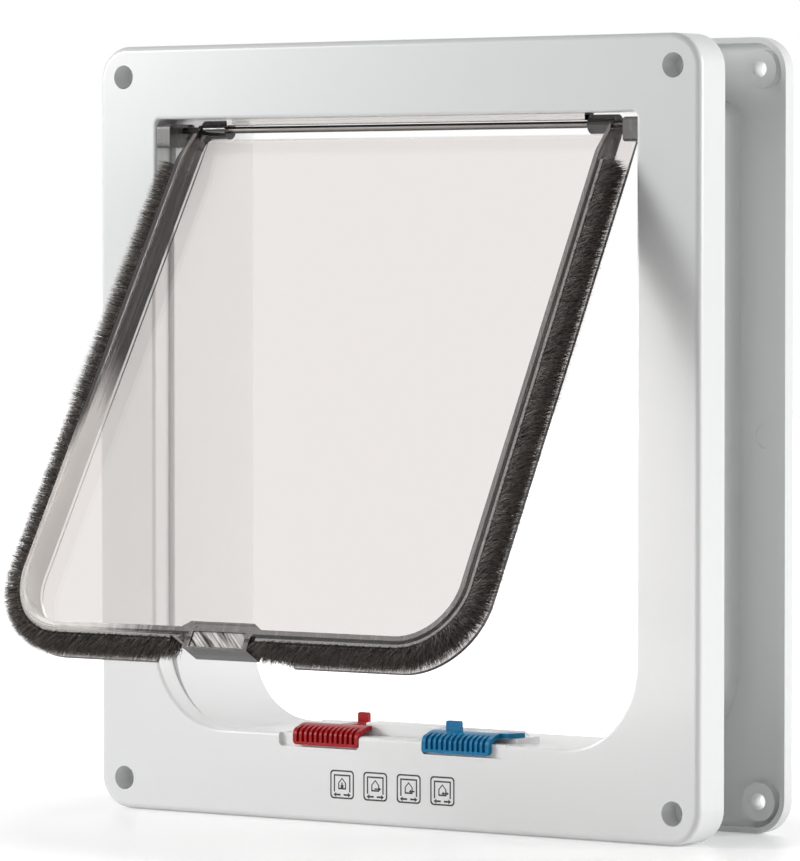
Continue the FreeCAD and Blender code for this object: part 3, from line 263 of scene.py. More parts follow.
def streaked_clear(name, tint, painted_light, corner, reach, clarity, glint):
    """Smoky clear SAN with streaks of flow along the arms, pale painted glints on some streaks, and painted
    light up to a reach from a corner.

    The painted light is set by place alone, pale and hazy, and stands for what may be light bent in the
    real moulding.
    """
    material, tree = blank_material(name)
    streaks = object_noise(tree, 1.1 * MM, detail=3.0, stretch=(1, 1, 0.03), turn=(LEAN, 0, 0))
    place = add(tree, "ShaderNodeTexCoord").outputs["Object"]
    distance = add(tree, "ShaderNodeVectorMath", {0: place, 1: tuple(corner)}, operation="DISTANCE")
    uneven, fade = 30 * MM, 20 * MM
    wavy = {0: streaks, 1: uneven, 2: distance.outputs["Value"]}
    ragged = add(tree, "ShaderNodeMath", wavy, operation="MULTIPLY_ADD").outputs[0]
    # Painted light: pale and less clear near the corner, fading to the plain smoky tint beyond the reach.
    smoky = ranged(tree, ragged, 0, 1, (reach, reach + fade))
    # Painted highlights: the brightest streaks are mixed towards the pale painted light colour as glints.
    glints = ranged(tree, streaks, 0, glint, (0.55, 0.75))
    streaked = two_tone(tree, glints, tuple(tint), tuple(painted_light))
    links = {
        "Base Color": two_tone(tree, smoky, tuple(painted_light), streaked),
        "IOR": 1.57,
        "Transmission Weight": ranged(tree, smoky, clarity, 1.0, (0, 1)),
        "Roughness": 0.08,
        "Normal": bumped(tree, streaks, 0.01 * MM),
    }
    return finished(material, tree, links)


def drawn_steel(name):
    """Drawn steel wire: dull bright, with fine lines along its length from the die."""
    material, tree = blank_material(name)
    lines = object_noise(tree, 0.4 * MM, stretch=(0.02, 1, 1))
    links = {
        "Base Color": linear("#6A6663"),
        "Metallic": 1.0,
        "Roughness": ranged(tree, lines, 0.25, 0.45),
        "Normal": bumped(tree, lines, 0.01 * MM),
    }
    return finished(material, tree, links)


def ground_magnet(name):
    """Nickel-plated magnet left as ground: bright, with dark grinding marks aslant across its face.

    The marks are drawn coarser than a grinding wheel leaves them, so that they show.
    """
    material, tree = blank_material(name)
    slant = (LEAN, math.radians(-42), 0)
    coarse = object_noise(tree, 1.6 * MM, stretch=(0.06, 1, 1), turn=slant)
    fine = object_noise(tree, 0.5 * MM, detail=4.0, stretch=(0.05, 1, 1), turn=slant)
    marks = add(tree, "ShaderNodeMath", {0: coarse, 1: fine}, operation="ADD").outputs[0]
    bright = ranged(tree, marks, 0, 1, (0.8, 1.2))
    links = {
        "Base Color": two_tone(tree, bright, linear("#2E2C2B"), linear("#B2AFAC")),
        "Metallic": 1.0,
        "Roughness": ranged(tree, coarse, 0.45, 0.65),
        "Normal": bumped(tree, marks, 0.25 * MM),
    }
    return finished(material, tree, links)


def nylon_pile(name, shade, tips):
    """Crimped nylon pile: matt fibres, each of its own grey, whose ends stand out from roots darkened by
    painted shade.
    """
    material, tree = blank_material(name)
    own = add(tree, "ShaderNodeAttribute", attribute_name="fibre_shade").outputs["Fac"]
    height = add(tree, "ShaderNodeAttribute", attribute_name="fibre_height").outputs["Fac"]
    tufts = object_noise(tree, 1.4 * MM, detail=3.0)
    both = add(tree, "ShaderNodeMath", {0: own, 1: tufts}, operation="ADD").outputs[0]
    strand = two_tone(tree, ranged(tree, both, 0, 1, (0.9, 1.5)), shade, tips)
    links = {
        # Painted shade: each fibre is the shade colour over its lower part and lightens towards its tip.
        "Base Color": two_tone(tree, ranged(tree, height, 0, 1, (0.1, 0.7)), shade, strand),
        "Roughness": 0.7,
        "Sheen Weight": 0.35,
        "Sheen Roughness": 0.4,
    }
    return finished(material, tree, links)


def woven_polyester(name, colour):
    """Woven polyester tape: pale matt yarn with a slight glint and painted shade in the hollows of its
    weave.
    """
    material, tree = blank_material(name)
    yarn = object_noise(tree, 0.5 * MM, detail=3.0)
    # Painted shade: the weave is darker where its bump is low, in its hollows.
    dark = tuple(c * 0.45 for c in colour[:3]) + (1.0,)
    links = {
        "Base Color": two_tone(tree, ranged(tree, yarn, 0, 1), dark, colour),
        "Roughness": 0.55,
        "Sheen Weight": 0.2,
        "Normal": bumped(tree, yarn, 0.1 * MM),
    }
    return finished(material, tree, links)


def printed_ink(name, colour):
    """Pad-printed ink: a thin matt grey film with a slightly uneven cover."""
    material, tree = blank_material(name)
    cover = object_noise(tree, 0.6 * MM)
    light = tuple(min(1.0, c * 1.5) for c in colour[:3]) + (1.0,)
    links = {"Base Color": two_tone(tree, ranged(tree, cover, 0, 1), colour, light), "Roughness": 0.5}
    return finished(material, tree, links)


def dress(name, material):
    """Give a CAD node its finish."""
    node = frame["nodes"][name]
    node.data.materials.clear()
    node.data.materials.append(material)


def mesh_piece(name, mesh, body, material):
    """A finished mesh as a piece that rides on a body."""
    piece = bpy.data.objects.new(name, mesh)
    bpy.context.scene.collection.objects.link(piece)
    if material.name not in mesh.materials:
        mesh.materials.append(material)
    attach(piece, body)
    return piece


def grown(name, seed_mesh, tree, inputs):
    """The plain mesh that a Geometry Nodes tree makes from a mesh."""
    source = bpy.data.objects.new(name + "_source", seed_mesh)
    bpy.context.scene.collection.objects.link(source)
    modifier = source.modifiers.new(name, "NODES")
    modifier.node_group = tree
    for item in tree.interface.items_tree:
        if item.item_type == "SOCKET" and item.in_out == "INPUT" and item.name in inputs:
            modifier[item.identifier] = inputs[item.name]
    graph = bpy.context.evaluated_depsgraph_get()
    made = bpy.data.meshes.new_from_object(source.evaluated_get(graph))
    made.name = name
    source.modifiers.clear()
    bpy.data.objects.remove(source)
    if not made.polygons:
        raise RuntimeError(f"{name} came out empty")
    return made


def new_tree(name, sockets):
    """A Geometry Nodes tree with a geometry input and output and named inputs, and its input node."""
    tree = bpy.data.node_groups.new(name, "GeometryNodeTree")
    tree.interface.new_socket(name="Geometry", in_out="INPUT", socket_type="NodeSocketGeometry")
    for label, kind, default in sockets:
        socket = tree.interface.new_socket(name=label, in_out="INPUT", socket_type=kind)
        socket.default_value = default
    tree.interface.new_socket(name="Geometry", in_out="OUTPUT", socket_type="NodeSocketGeometry")
    return tree, tree.nodes.new("NodeGroupInput")


def end_tree(tree, instances, material):
    """Real geometry and its material at the end of a tree."""
    real = add(tree, "GeometryNodeRealizeInstances", {"Geometry": instances})
    last = add(tree, "GeometryNodeSetMaterial", {"Geometry": real.outputs[0], "Material": material})
    add(tree, "NodeGroupOutput", {"Geometry": last.outputs[0]})


def beyond_rim(sizes, u, v):
    """How far a point of the flap's plane lies outside the inner outline of the rim."""
    if v < sizes.corner_down:
        spread = sizes.corner_across + sizes.corner - sizes.top_half
        return abs(u) - sizes.top_half - spread * v / sizes.corner_down
    if abs(u) < sizes.corner_across:
        return v - sizes.corner_down - sizes.corner
    return math.hypot(abs(u) - sizes.corner_across, v - sizes.corner_down) - sizes.corner


def flap_mesh(sizes, rim, wall, pane):
    """The flap's moulding, with its pane, rear flange and channel wall told from the thick rest."""
    pane_front, pane_back = 0.9 * MM, 3.1 * MM
    mesh = frame["nodes"]["flap_panel"].data.copy()
    mesh.name = "flap_moulding"
    mesh.materials.clear()
    finishes = (rim, wall, pane)
    for material in finishes:
        mesh.materials.append(material)
    mesh.attributes.remove(mesh.attributes["custom_normal"])
    shape = bmesh.new()
    shape.from_mesh(mesh)
    bmesh.ops.remove_doubles(shape, verts=shape.verts, dist=0.001 * MM)
    axis = swung(0, 0, 0)
    down, through = swung(0, 1, 0) - axis, swung(0, 0, 1) - axis
    for face in shape.faces:
        levels = [(vert.co - axis).dot(through) for vert in face.verts]
        centre = face.calc_center_median() - axis
        outside = beyond_rim(sizes, centre.x, centre.dot(down))
        facing = abs(face.normal.dot(through))
        on_pane = facing > 0.99 and pane_front < min(levels) and max(levels) < pane_back
        on_rear_flange = facing > 0.9 and outside > 0 and min(levels) > 0
        if on_pane or on_rear_flange:
            face.material_index = finishes.index(pane)
        elif facing < 0.05 and abs(outside) < sizes.floor and abs(centre.x) > sizes.left_end:
            face.material_index = finishes.index(wall)
        face.smooth = True
    shape.to_mesh(mesh)
    shape.free()
    mesh.set_sharp_from_angle(angle=math.radians(30))
    return mesh


def strip_stations(sizes, side, spacing=1.2 * MM):
    """Points (u, v) of the strip's back with the outward direction at each, from top to bottom."""
    radius = sizes.corner + sizes.floor
    centre = Vector((sizes.corner_across, sizes.corner_down))
    spread = sizes.corner_across + sizes.corner - sizes.top_half
    top = Vector((sizes.top_half + sizes.floor + spread * sizes.start / sizes.corner_down, sizes.start))
    across = centre - top
    lean = math.atan2(across.x, across.y) + math.asin(radius / across.length)
    outward = Vector((math.cos(lean), -math.sin(lean)))
    entry = centre + outward * radius
    end = Vector((sizes.right_end if side > 0 else sizes.left_end, sizes.corner_down + radius))
    exit_point = Vector((centre.x, end.y))
    down = Vector((0, 1))
    stations = []
    count = round((entry - top).length / spacing)
    stations += [(top.lerp(entry, i / count), outward) for i in range(count)]
    sweep = outward.angle(down)
    count = round(radius * sweep / spacing)
    for i in range(count):
        angle = math.atan2(outward.y, outward.x) + sweep * i / count
        spoke = Vector((math.cos(angle), math.sin(angle)))
        stations.append((centre + spoke * radius, spoke))
    count = round((exit_point - end).length / spacing)
    stations += [(exit_point.lerp(end, i / count), down) for i in range(count + 1)]
    return [(Vector((p.x * side, p.y)), Vector((n.x * side, n.y))) for p, n in stations]


def pile_bed(sizes, side):
    """Ribbon at the roots of the pile, with the fibre of each point stored on it as a vector."""
    columns, least_rise = 12, 1.5 * MM
    mesh = bpy.data.meshes.new("pile_bed")
    stations = strip_stations(sizes, side)
    parting = sizes.right_parting if side > 0 else sizes.left_parting
    points, fibres = [], []
    for back, outward in stations:
        foot = back + outward * sizes.root
        low = sizes.parted if abs(back.x) < parting and outward.y > 0.99 else sizes.reach
        for column in range(columns + 1):
            w = sizes.pile_half * (2 * column / columns - 1)
            root = swung(foot.x, foot.y, sizes.middle + w)
            dome = sizes.reach - (1 - math.cos(w / sizes.pile_half)) * sizes.pile_half
            rise = max(min(dome, low) - sizes.root, least_rise)
            tip = foot + outward * rise
            drift = (w * (sizes.splay - 1) - sizes.forward) * rise / sizes.reach
            points.append(root)
            fibres += (swung(tip.x, tip.y, sizes.middle + w + drift) - root)[:]
    faces = []
    for row in range(len(stations) - 1):
        for column in range(columns):
            first = row * (columns + 1) + column
            quad = (first, first + 1, first + columns + 2, first + columns + 1)
            faces.append(quad[::-1] if side > 0 else quad)
    mesh.from_pydata(points, [], faces)
    mesh.attributes.new("fibre", "FLOAT_VECTOR", "POINT").data.foreach_set("vector", fibres)
    return mesh


def pile_tree(material):
    """Crimped fibres scattered on a bed along its stored vectors, each leaning its own way."""
    sockets = (
        ("Density", "NodeSocketFloat", 1.0),
        ("Fibre radius", "NodeSocketFloat", 0.17 * MM),
        ("Crimp", "NodeSocketFloat", 0.5 * MM),
        ("Lean", "NodeSocketFloat", 0.24),
        ("Seed", "NodeSocketInt", 7),
    )
    tree, given = new_tree("pile fibres", sockets)
    seed, lean = given.outputs["Seed"], given.outputs["Lean"]
    roots = {"Mesh": given.outputs["Geometry"], "Density": given.outputs["Density"], "Seed": seed}
    scatter = add(tree, "GeometryNodeDistributePointsOnFaces", roots)
    shape = {
        "Vertices": 3,
        "Side Segments": 2,
        "Radius Top": 0.0,
        "Radius Bottom": given.outputs["Fibre radius"],
        "Depth": 1.0,
    }
    cone = add(tree, "GeometryNodeMeshCone", shape, fill_type="NONE")
    place = add(tree, "GeometryNodeInputPosition")
    height = add(tree, "ShaderNodeSeparateXYZ", {0: place.outputs[0]}).outputs[2]
    marked = {"Geometry": cone.outputs["Mesh"], "Name": "fibre_height", "Value": height}
    fibre = add(tree, "GeometryNodeStoreNamedAttribute", marked, data_type="FLOAT", domain="POINT")
    arc = add(tree, "ShaderNodeMath", {0: height, 1: math.pi}, operation="MULTIPLY")
    bow = add(tree, "ShaderNodeMath", {0: arc.outputs[0]}, operation="SINE")
    aside = {0: bow.outputs[0], 1: given.outputs["Crimp"]}
    shift = add(tree, "ShaderNodeMath", aside, operation="MULTIPLY")
    offset = add(tree, "ShaderNodeCombineXYZ", {0: shift.outputs[0], 1: 0.0, 2: 0.0})
    bent = {"Geometry": fibre.outputs[0], "Offset": offset.outputs[0]}
    crimped = add(tree, "GeometryNodeSetPosition", bent)
    stored = add(tree, "GeometryNodeInputNamedAttribute", {"Name": "fibre"}, data_type="FLOAT_VECTOR")
    upright = {"Vector": stored.outputs[0]}
    along = add(tree, "FunctionNodeAlignRotationToVector", upright, axis="Z")
    back = add(tree, "ShaderNodeMath", {0: lean, 1: -1.0}, operation="MULTIPLY").outputs[0]
    least = add(tree, "ShaderNodeCombineXYZ", {0: back, 1: back, 2: 0.0}).outputs[0]
    most = add(tree, "ShaderNodeCombineXYZ", {0: lean, 1: lean, 2: math.tau}).outputs[0]
    ways = {0: least, 1: most, "Seed": seed}
    spin = add(tree, "FunctionNodeRandomValue", ways, data_type="FLOAT_VECTOR")
    turn = add(tree, "FunctionNodeEulerToRotation", {"Euler": spin.outputs[0]})
    aim = {"Rotation": along.outputs[0], "Rotate By": turn.outputs[0]}
    turned = add(tree, "FunctionNodeRotateRotation", aim, rotation_space="LOCAL")
    length = add(tree, "ShaderNodeVectorMath", {0: stored.outputs[0]}, operation="LENGTH")
    shortest, longest = 0.88, 1.03
    share = {2: shortest, 3: longest, "Seed": 3}
    uneven = add(tree, "FunctionNodeRandomValue", share, data_type="FLOAT")
    size = {0: length.outputs["Value"], 1: uneven.outputs[1]}
    tall = add(tree, "ShaderNodeMath", size, operation="MULTIPLY")
    scale = add(tree, "ShaderNodeCombineXYZ", {0: 1.0, 1: 1.0, 2: tall.outputs[0]})
    placed = {
        "Points": scatter.outputs["Points"],
        "Instance": crimped.outputs[0],
        "Rotation": turned.outputs[0],
        "Scale": scale.outputs[0],
    }
    fibres = add(tree, "GeometryNodeInstanceOnPoints", placed)
    own = add(tree, "FunctionNodeRandomValue", {2: 0.0, 3: 1.0, "Seed": 11}, data_type="FLOAT")
    shaded = {"Geometry": fibres.outputs[0], "Name": "fibre_shade", "Value": own.outputs[1]}
    greys = add(tree, "GeometryNodeStoreNamedAttribute", shaded, data_type="FLOAT", domain="INSTANCE")
    end_tree(tree, greys.outputs[0], material)
    return tree


def selvage_lines(sizes, side):
    """The two woven edges of a strip as plain lines."""
    points, edges = [], []
    for w in (-sizes.edge_across, sizes.edge_across):
        first = len(points)
        for back, outward in strip_stations(sizes, side):
            place = back + outward * sizes.edge_rise
            points.append(swung(place.x, place.y, sizes.middle + w))
        edges += [(i, i + 1) for i in range(first, len(points) - 1)]
    mesh = bpy.data.meshes.new("selvage_lines")
    mesh.from_pydata(points, edges, [])
    return mesh


def selvage_tree(material):
    """Short threads lying aslant along a line, as on the edge of a woven tape."""
    sockets = (
        ("Pitch", "NodeSocketFloat", 1.05 * MM),
        ("Thread radius", "NodeSocketFloat", 0.26 * MM),
        ("Slant", "NodeSocketFloat", math.radians(52)),
    )
    tree, given = new_tree("woven edge", sockets)
    line = add(tree, "GeometryNodeMeshToCurve", {"Mesh": given.outputs["Geometry"]})
    pitch = {"Curve": line.outputs[0], "Length": given.outputs["Pitch"]}
    spaced = add(tree, "GeometryNodeResampleCurve", pitch, mode="LENGTH")
    thread = add(tree, "GeometryNodeMeshUVSphere", {"Segments": 6, "Rings": 4, "Radius": 1.0})
    tangent = add(tree, "GeometryNodeInputTangent")
    along = add(tree, "FunctionNodeAlignRotationToVector", {"Vector": tangent.outputs[0]}, axis="X")
    slant = add(tree, "ShaderNodeCombineXYZ", {0: 0.0, 1: 0.0, 2: given.outputs["Slant"]})
    lean = add(tree, "FunctionNodeEulerToRotation", {"Euler": slant.outputs[0]})
    aim = {"Rotation": along.outputs[0], "Rotate By": lean.outputs[0]}
    turned = add(tree, "FunctionNodeRotateRotation", aim, rotation_space="LOCAL")
    radius = given.outputs["Thread radius"]
    slimness = 2.4
    half = add(tree, "ShaderNodeMath", {0: radius, 1: slimness}, operation="MULTIPLY")
    scale = add(tree, "ShaderNodeCombineXYZ", {0: half.outputs[0], 1: radius, 2: radius})
    placed = {
        "Points": spaced.outputs[0],
        "Instance": thread.outputs["Mesh"],
        "Rotation": turned.outputs[0],
        "Scale": scale.outputs[0],
    }
    end_tree(tree, add(tree, "GeometryNodeInstanceOnPoints", placed).outputs[0], material)
    return tree


def rounded_loop(left, right, low, high, radius):
    """Points of a rectangle with rounded corners, anticlockwise."""
    steps = 6
    loop = []
    corners = ((right, low, -90), (right, high, 0), (left, high, 90), (left, low, 180))
    for x, z, start in corners:
        centre_x = x - radius if x == right else x + radius
        centre_z = z - radius if z == high else z + radius
        for step in range(steps + 1):
            angle = math.radians(start + 90 * step / steps)
            loop.append((centre_x + radius * math.cos(angle), centre_z + radius * math.sin(angle)))
    return loop


def shrunk(loop, share_x, share_z, centre):
    """A loop drawn in towards a centre."""
    middle_x, middle_z = centre
    return [(middle_x + (x - middle_x) * share_x, middle_z + (z - middle_z) * share_z) for x, z in loop]


def ink_ring(mesh, outer, inner, front, back):
    """A closed line of ink between two loops with the same number of points."""
    rings = []
    for y in (front, back):
        rings.append([[mesh.verts.new((x, y, z)) for x, z in loop] for loop in (outer, inner)])
    (front_out, front_in), (back_out, back_in) = rings
    count = len(outer)
    for i in range(count):
        j = (i + 1) % count
        mesh.faces.new((front_out[i], front_out[j], front_in[j], front_in[i]))
        mesh.faces.new((back_out[j], back_out[i], back_in[i], back_in[j]))
        mesh.faces.new((front_out[j], front_out[i], back_out[i], back_out[j]))
        mesh.faces.new((front_in[i], front_in[j], back_in[j], back_in[i]))


def ink_patch(mesh, loop, front, back):
    """A closed patch of ink with a convex or nearly convex outline, anticlockwise."""
    near_points = [mesh.verts.new((x, front, z)) for x, z in loop]
    far_points = [mesh.verts.new((x, back, z)) for x, z in loop]
    mesh.faces.new(near_points)
    mesh.faces.new(far_points[::-1])
    for i in range(len(loop)):
        j = (i + 1) % len(loop)
        mesh.faces.new((near_points[j], near_points[i], far_points[i], far_points[j]))


def arrow(tip_x, tail_x, z, size):
    """A head and a stem as two outlines, anticlockwise, pointing from the tail to the tip."""
    way = 1 if tip_x > tail_x else -1
    neck = tip_x - way * size
    head_half, stem_half = size * 0.75, size * 0.28
    head = [(tip_x, z), (neck, z + head_half), (neck, z - head_half)]
    stem = [(neck, z + stem_half), (tail_x, z + stem_half), (tail_x, z - stem_half), (neck, z - stem_half)]
    return [loop if way > 0 else loop[::-1] for loop in (head, stem)]


def draw_mark(mesh, left, top, marks, number, front, back):
    """One mark: rounded tile, door outline, small house with its sign, and two arrows below."""
    size, line = marks.size, marks.line
    right, low = left + size, top - size * 0.98
    tile = rounded_loop(left, right, low, top, 1.3 * MM)
    inner_tile = rounded_loop(left + line, right - line, low + line, top - line, 1.0 * MM)
    ink_ring(mesh, tile, inner_tile, front, back)
    inset = 1.4 * MM
    door_low = top - 7.0 * MM
    post_left, post_right, head = left + inset, right - inset, top - inset
    for x in (post_left, post_right - line):
        ink_patch(mesh, [(x, door_low), (x + line, door_low), (x + line, head), (x, head)], front, back)
    inner_left, inner_right = post_left + line, post_right - line
    bar = [(inner_left, head - line), (inner_right, head - line), (inner_right, head), (inner_left, head)]
    ink_patch(mesh, bar, front, back)
    middle = (left + right) / 2
    half, peak, eaves, foot = 1.55 * MM, top - 2.4 * MM, top - 4.1 * MM, top - 6.2 * MM
    wall_left, wall_right = middle - half, middle + half
    house = [(wall_left, foot), (wall_right, foot), (wall_right, eaves), (middle, peak), (wall_left, eaves)]
    wall = 1 - line / half * 0.85
    inner_house = shrunk(house, wall, wall, (middle, (peak + foot) / 2))
    ink_ring(mesh, house, inner_house, front, back)
    level = (eaves + foot) / 2 - 0.2 * MM
    sign = 0.55 * MM
    if number == 0:
        body = (middle - sign, middle + sign, foot + line, eaves - 0.6 * MM)
        ink_patch(mesh, rounded_loop(*body, 0.1 * MM), front, back)
        hoop_half, hoop_round = 0.38 * MM, 0.3 * MM
        hoop = (middle - hoop_half, middle + hoop_half, eaves - 0.62 * MM, eaves + 0.15 * MM)
        hoop = rounded_loop(*hoop, hoop_round)
        ink_ring(mesh, hoop, shrunk(hoop, 0.45, 0.55, (middle, eaves - 0.3 * MM)), front, back)
    tips = {1: [(2.3, -0.3)], 2: [(0.1, 2.3)], 3: [(2.5, 0.9), (-0.3, 0.9)]}.get(number, [])
    for tip, tail in tips:
        for loop in arrow(middle + tip * MM, middle + tail * MM, level, 0.8 * MM):
            ink_patch(mesh, loop, front, back)
    level = top - 7.9 * MM
    reach = size / 2 - inset + 0.1 * MM
    for way in (-1, 1):
        for loop in arrow(middle + way * reach, middle + way * 0.6 * MM, level, 1.05 * MM):
            ink_patch(mesh, loop, front, back)


class CATFLAP_OT_frames(bpy.types.Operator):
    """Finish of the white mouldings"""

    bl_idname = "catflap.frames"
    bl_label = "Frames and tunnel"

    def execute(self, context):
        plastic = moulded_abs("Moulded white ABS", context.scene.catflap_colours.white)
        for name in WHITE_MOULDINGS:
            dress(name, plastic)
        dress("keeper_magnet", ground_magnet("Sill magnet"))
        return {"FINISHED"}


class CATFLAP_OT_locks(bpy.types.Operator):
    """Finish of the two sliding locks"""

    bl_idname = "catflap.locks"
    bl_label = "Sliding locks"

    def execute(self, context):
        colours = context.scene.catflap_colours
        for name, colour in (("red", colours.red), ("blue", colours.blue)):
            plastic = moulded_abs(f"Moulded {name} ABS", colour, roughness=0.3, index=1.33)
            dress(f"{name}_slider", plastic)
        return {"FINISHED"}


class CATFLAP_OT_hinge(bpy.types.Operator):
    """Finish of the rod, its blocks and the strip above"""

    bl_idname = "catflap.hinge"
    bl_label = "Hinge"

    def execute(self, context):
        colours = context.scene.catflap_colours
        dress("hinge_rod", drawn_steel("Drawn steel wire"))
        block = smoked_clear("Smoked SAN block", colours.block, roughness=0.25, clarity=0.6)
        for side, _ in SIDES:
            dress(f"hinge_block_{side}", block)
        dress("header_strip", smoked_clear("Smoked SAN strip", colours.header))
        return {"FINISHED"}


class CATFLAP_OT_flap(bpy.types.Operator):
    """Finish of the clear flap and its magnet"""

    bl_idname = "catflap.flap"
    bl_label = "Flap"

    def execute(self, context):
        colours = context.scene.catflap_colours
        sizes = context.scene.catflap_strip
        # The rim and wall are painted pale about this lower left corner, as painted light.
        corner = swung(-sizes.corner_across - sizes.corner, sizes.corner_down, sizes.middle)
        painted_light = (colours.painted_light, corner)
        rim = streaked_clear("Smoked SAN rim", colours.smoke, *painted_light, reach=53 * MM, clarity=0.9, glint=0.1)
        wall = streaked_clear("Smoked SAN wall", colours.wall, *painted_light, reach=75 * MM, clarity=0.6, glint=0.4)
        pane = smoked_clear("Smoked clear SAN pane", colours.pane)
        mesh = flap_mesh(sizes, rim, wall, pane)
        piece = mesh_piece("flap_moulding", mesh, "flap", rim)
        # Clear plastic would throw a solid shadow on the frame here, where the real one hardly does.
        piece.visible_shadow = False
        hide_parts("flap_panel")
        dress("flap_magnet", ground_magnet("Ground magnet"))
        return {"FINISHED"}


class CATFLAP_OT_pile(bpy.types.Operator):
    """Pile and woven edges of the draught strip"""

    bl_idname = "catflap.pile"
    bl_label = "Draught strip"

    def execute(self, context):
        colours, sizes = context.scene.catflap_colours, context.scene.catflap_strip
        fibre = nylon_pile("Crimped nylon pile", colours.pile_shade, colours.pile)
        tape = woven_polyester("Woven polyester tape", colours.selvage)
        fibres, threads = pile_tree(fibre), selvage_tree(tape)
        density = sizes.density / MM**2 * 1.0
        for side, sign in SIDES:
            inputs = {"Density": density, "Fibre radius": sizes.fibre}
            inputs |= {"Crimp": sizes.crimp, "Seed": sizes.seed}
            mesh = grown(f"pile_{side}", pile_bed(sizes, sign), fibres, inputs)
            piece = mesh_piece(f"pile_{side}", mesh, "flap", fibre)
            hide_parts(f"brush_pile_{side}")
            inputs = {"Pitch": sizes.thread_pitch, "Thread radius": sizes.thread}
            mesh = grown(f"selvage_{side}", selvage_lines(sizes, sign), threads, inputs)
            mesh_piece(f"selvage_{side}", mesh, "flap", tape)
            dress(f"brush_backing_{side}", tape)
        return {"FINISHED"}


class CATFLAP_OT_marks(bpy.types.Operator):
    """Printed marks on the front face"""

    bl_idname = "catflap.marks"
    bl_label = "Printed marks"

    def execute(self, context):
        marks = context.scene.catflap_marks
        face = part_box("front_frame")[0].y
        shape = bmesh.new()
        for number in range(4):
            left = marks.left + number * marks.pitch
            draw_mark(shape, left, marks.top, marks, number, face - marks.film, face + marks.film)
        bmesh.ops.recalc_face_normals(shape, faces=shape.faces)
        mesh = bpy.data.meshes.new("printed_marks")
        shape.to_mesh(mesh)
        shape.free()
        ink = printed_ink("Pad-printed ink", context.scene.catflap_colours.ink)
        mesh_piece("printed_marks", mesh, "frame", ink)
        return {"FINISHED"}


def seen_ray(tree):
    """1 on camera, glossy and transmission rays, which show the white background."""
    rays = add(tree, "ShaderNodeLightPath")
    kinds = [rays.outputs[name] for name in ("Is Camera Ray", "Is Glossy Ray", "Is Transmission Ray")]
    pair = add(tree, "ShaderNodeMath", {0: kinds[0], 1: kinds[1]}, operation="MAXIMUM")
    return add(tree, "ShaderNodeMath", {0: pair.outputs[0], 1: kinds[2]}, operation="MAXIMUM").outputs[0]


def studio_world():
    """White where it is seen and a plain grey light everywhere else."""
    world = bpy.data.worlds.new("Studio")
    world.use_nodes = True
    tree = world.node_tree
    tree.nodes.clear()
    light = add(tree, "ShaderNodeBackground", {"Color": linear("#FFFFFF"), "Strength": 0.19})
    white = add(tree, "ShaderNodeBackground", {"Color": (1, 1, 1, 1), "Strength": 1.0})
    both = add(tree, "ShaderNodeMixShader", {0: seen_ray(tree), 1: light.outputs[0], 2: white.outputs[0]})
    add(tree, "ShaderNodeOutputWorld", {"Surface": both.outputs[0]})
    bpy.context.scene.world = world


def studio_floor():
    """Plain pale floor that keeps the shadow near the foot and turns white away from it."""
    half = 4.0
    mesh = bpy.data.meshes.new("studio_floor")
    corners = [(-half, -half), (half, -half), (half, half), (-half, half)]
    mesh.from_pydata([(x, y, -0.2 * MM) for x, y in corners], [], [(0, 1, 2, 3)])
    floor = bpy.data.objects.new("studio_floor", mesh)
    bpy.context.scene.collection.objects.link(floor)
    material, tree = blank_material("Studio floor")
    place = add(tree, "ShaderNodeTexCoord").outputs["Object"]
    distance = add(tree, "ShaderNodeVectorMath", {0: place}, operation="LENGTH").outputs["Value"]
    shadow_glow, full_glow = 0.27, 1.0
    glow = ranged(tree, distance, shadow_glow, full_glow, (0.12, 0.3))
    lift = add(tree, "ShaderNodeMath", {0: seen_ray(tree), 1: glow}, operation="MULTIPLY")
    links = {
        "Base Color": linear("#F2F2F2"),
        "Roughness": 0.35,
        "Emission Color": (1, 1, 1, 1),
        "Emission Strength": lift.outputs[0],
    }
    lit = add(tree, "ShaderNodeBsdfPrincipled", links)
    white = add(tree, "ShaderNodeEmission", {"Color": (1, 1, 1, 1), "Strength": 1.0})
    through = add(tree, "ShaderNodeLightPath").outputs["Is Transmission Ray"]
    both = add(tree, "ShaderNodeMixShader", {0: through, 1: lit.outputs[0], 2: white.outputs[0]})
    add(tree, "ShaderNodeOutputMaterial", {"Surface": both.outputs[0]})
    mesh.materials.append(material)


def softbox(name, place, target, size, watts):
    """A rectangular lamp aimed at a point."""
    lamp = bpy.data.lights.new(name, "AREA")
    lamp.shape = "RECTANGLE"
    lamp.size, lamp.size_y = size
    lamp.energy = watts
    holder = bpy.data.objects.new(name, lamp)
    holder.location = place
    holder.rotation_euler = (Vector(target) - Vector(place)).to_track_quat("-Z", "Y").to_euler()
    bpy.context.scene.collection.objects.link(holder)


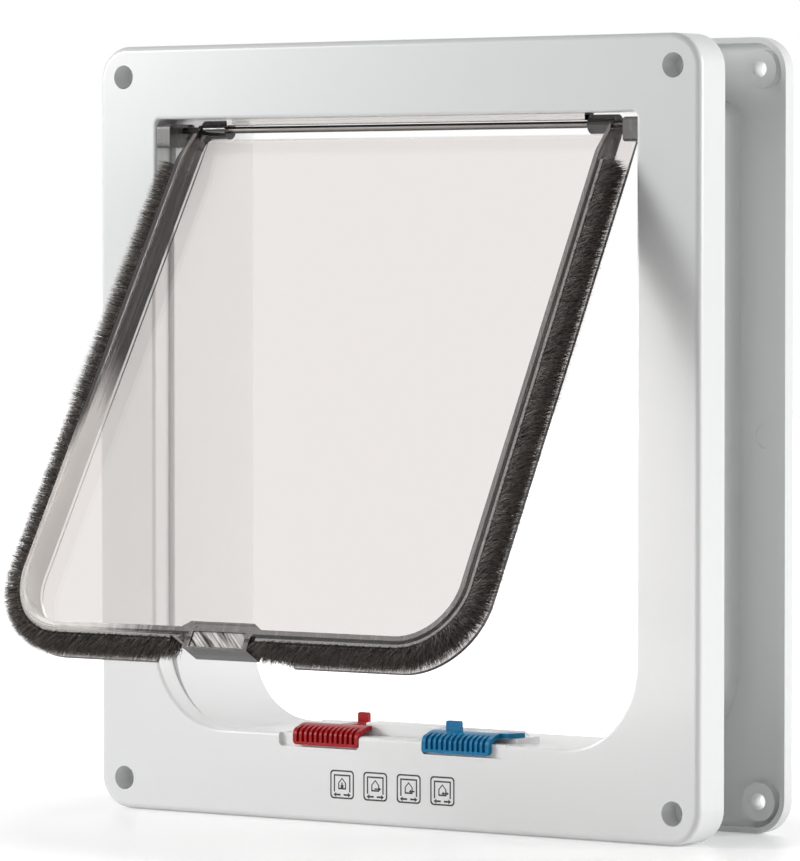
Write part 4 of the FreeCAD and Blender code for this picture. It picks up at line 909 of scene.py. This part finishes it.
def photo_camera():
    """Camera at the photograph's viewing angle."""
    camera = bpy.data.cameras.new("Camera")
    camera.sensor_width = 36.0
    pixels, focal = 861, 5843.3
    camera.lens = camera.sensor_width * focal / pixels
    holder = bpy.data.objects.new("Camera", camera)
    holder.location = (1.08983, -1.50817, 0.18193)
    yaw, pitch = math.radians(35.870), math.radians(-1.7245)
    ahead = Vector((-math.sin(yaw) * math.cos(pitch), math.cos(yaw) * math.cos(pitch), math.sin(pitch)))
    holder.rotation_euler = ahead.to_track_quat("-Z", "Y").to_euler()
    bpy.context.scene.collection.objects.link(holder)
    bpy.context.scene.camera = holder


class CATFLAP_OT_stage(bpy.types.Operator):
    """Floor, white background, softboxes and camera"""

    bl_idname = "catflap.stage"
    bl_label = "Studio"

    def execute(self, context):
        context.scene.view_settings.view_transform = "Standard"
        studio_world()
        studio_floor()
        for lamp in LAMPS:
            softbox(*lamp)
        photo_camera()
        return {"FINISHED"}


class CATFLAP_PT_panel(bpy.types.Panel):
    """All pieces of the cat flap, in the order in which they are made"""

    bl_label = "Cat flap"
    bl_idname = "CATFLAP_PT_panel"
    bl_space_type = "VIEW_3D"
    bl_region_type = "UI"
    bl_category = "Cat flap"

    def draw(self, context):
        for group_name, _ in GROUPS:
            group = getattr(context.scene, group_name)
            box = self.layout.box()
            for name in group.bl_rna.properties.keys():
                if name not in {"rna_type", "name"}:
                    box.prop(group, name)
        for operator in OPERATORS:
            self.layout.operator(operator.bl_idname)


GROUPS = (
    ("catflap_colours", CatFlapColours),
    ("catflap_strip", CatFlapStrip),
    ("catflap_marks", CatFlapMarks),
)
OPERATORS = (
    CATFLAP_OT_frames,
    CATFLAP_OT_locks,
    CATFLAP_OT_hinge,
    CATFLAP_OT_flap,
    CATFLAP_OT_pile,
    CATFLAP_OT_marks,
    CATFLAP_OT_stage,
)


def register():
    for name, group in GROUPS:
        bpy.utils.register_class(group)
        setattr(bpy.types.Scene, name, bpy.props.PointerProperty(type=group))
    for kind in (*OPERATORS, CATFLAP_PT_panel):
        bpy.utils.register_class(kind)


def unregister():
    for kind in (CATFLAP_PT_panel, *reversed(OPERATORS)):
        bpy.utils.unregister_class(kind)
    for name, group in reversed(GROUPS):
        delattr(bpy.types.Scene, name)
        bpy.utils.unregister_class(group)


def main():
    """Make every piece."""
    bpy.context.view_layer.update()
    register()
    for operator in OPERATORS:
        group, name = operator.bl_idname.split(".")
        getattr(getattr(bpy.ops, group), name)()


if __name__ == "__main__":
    main()
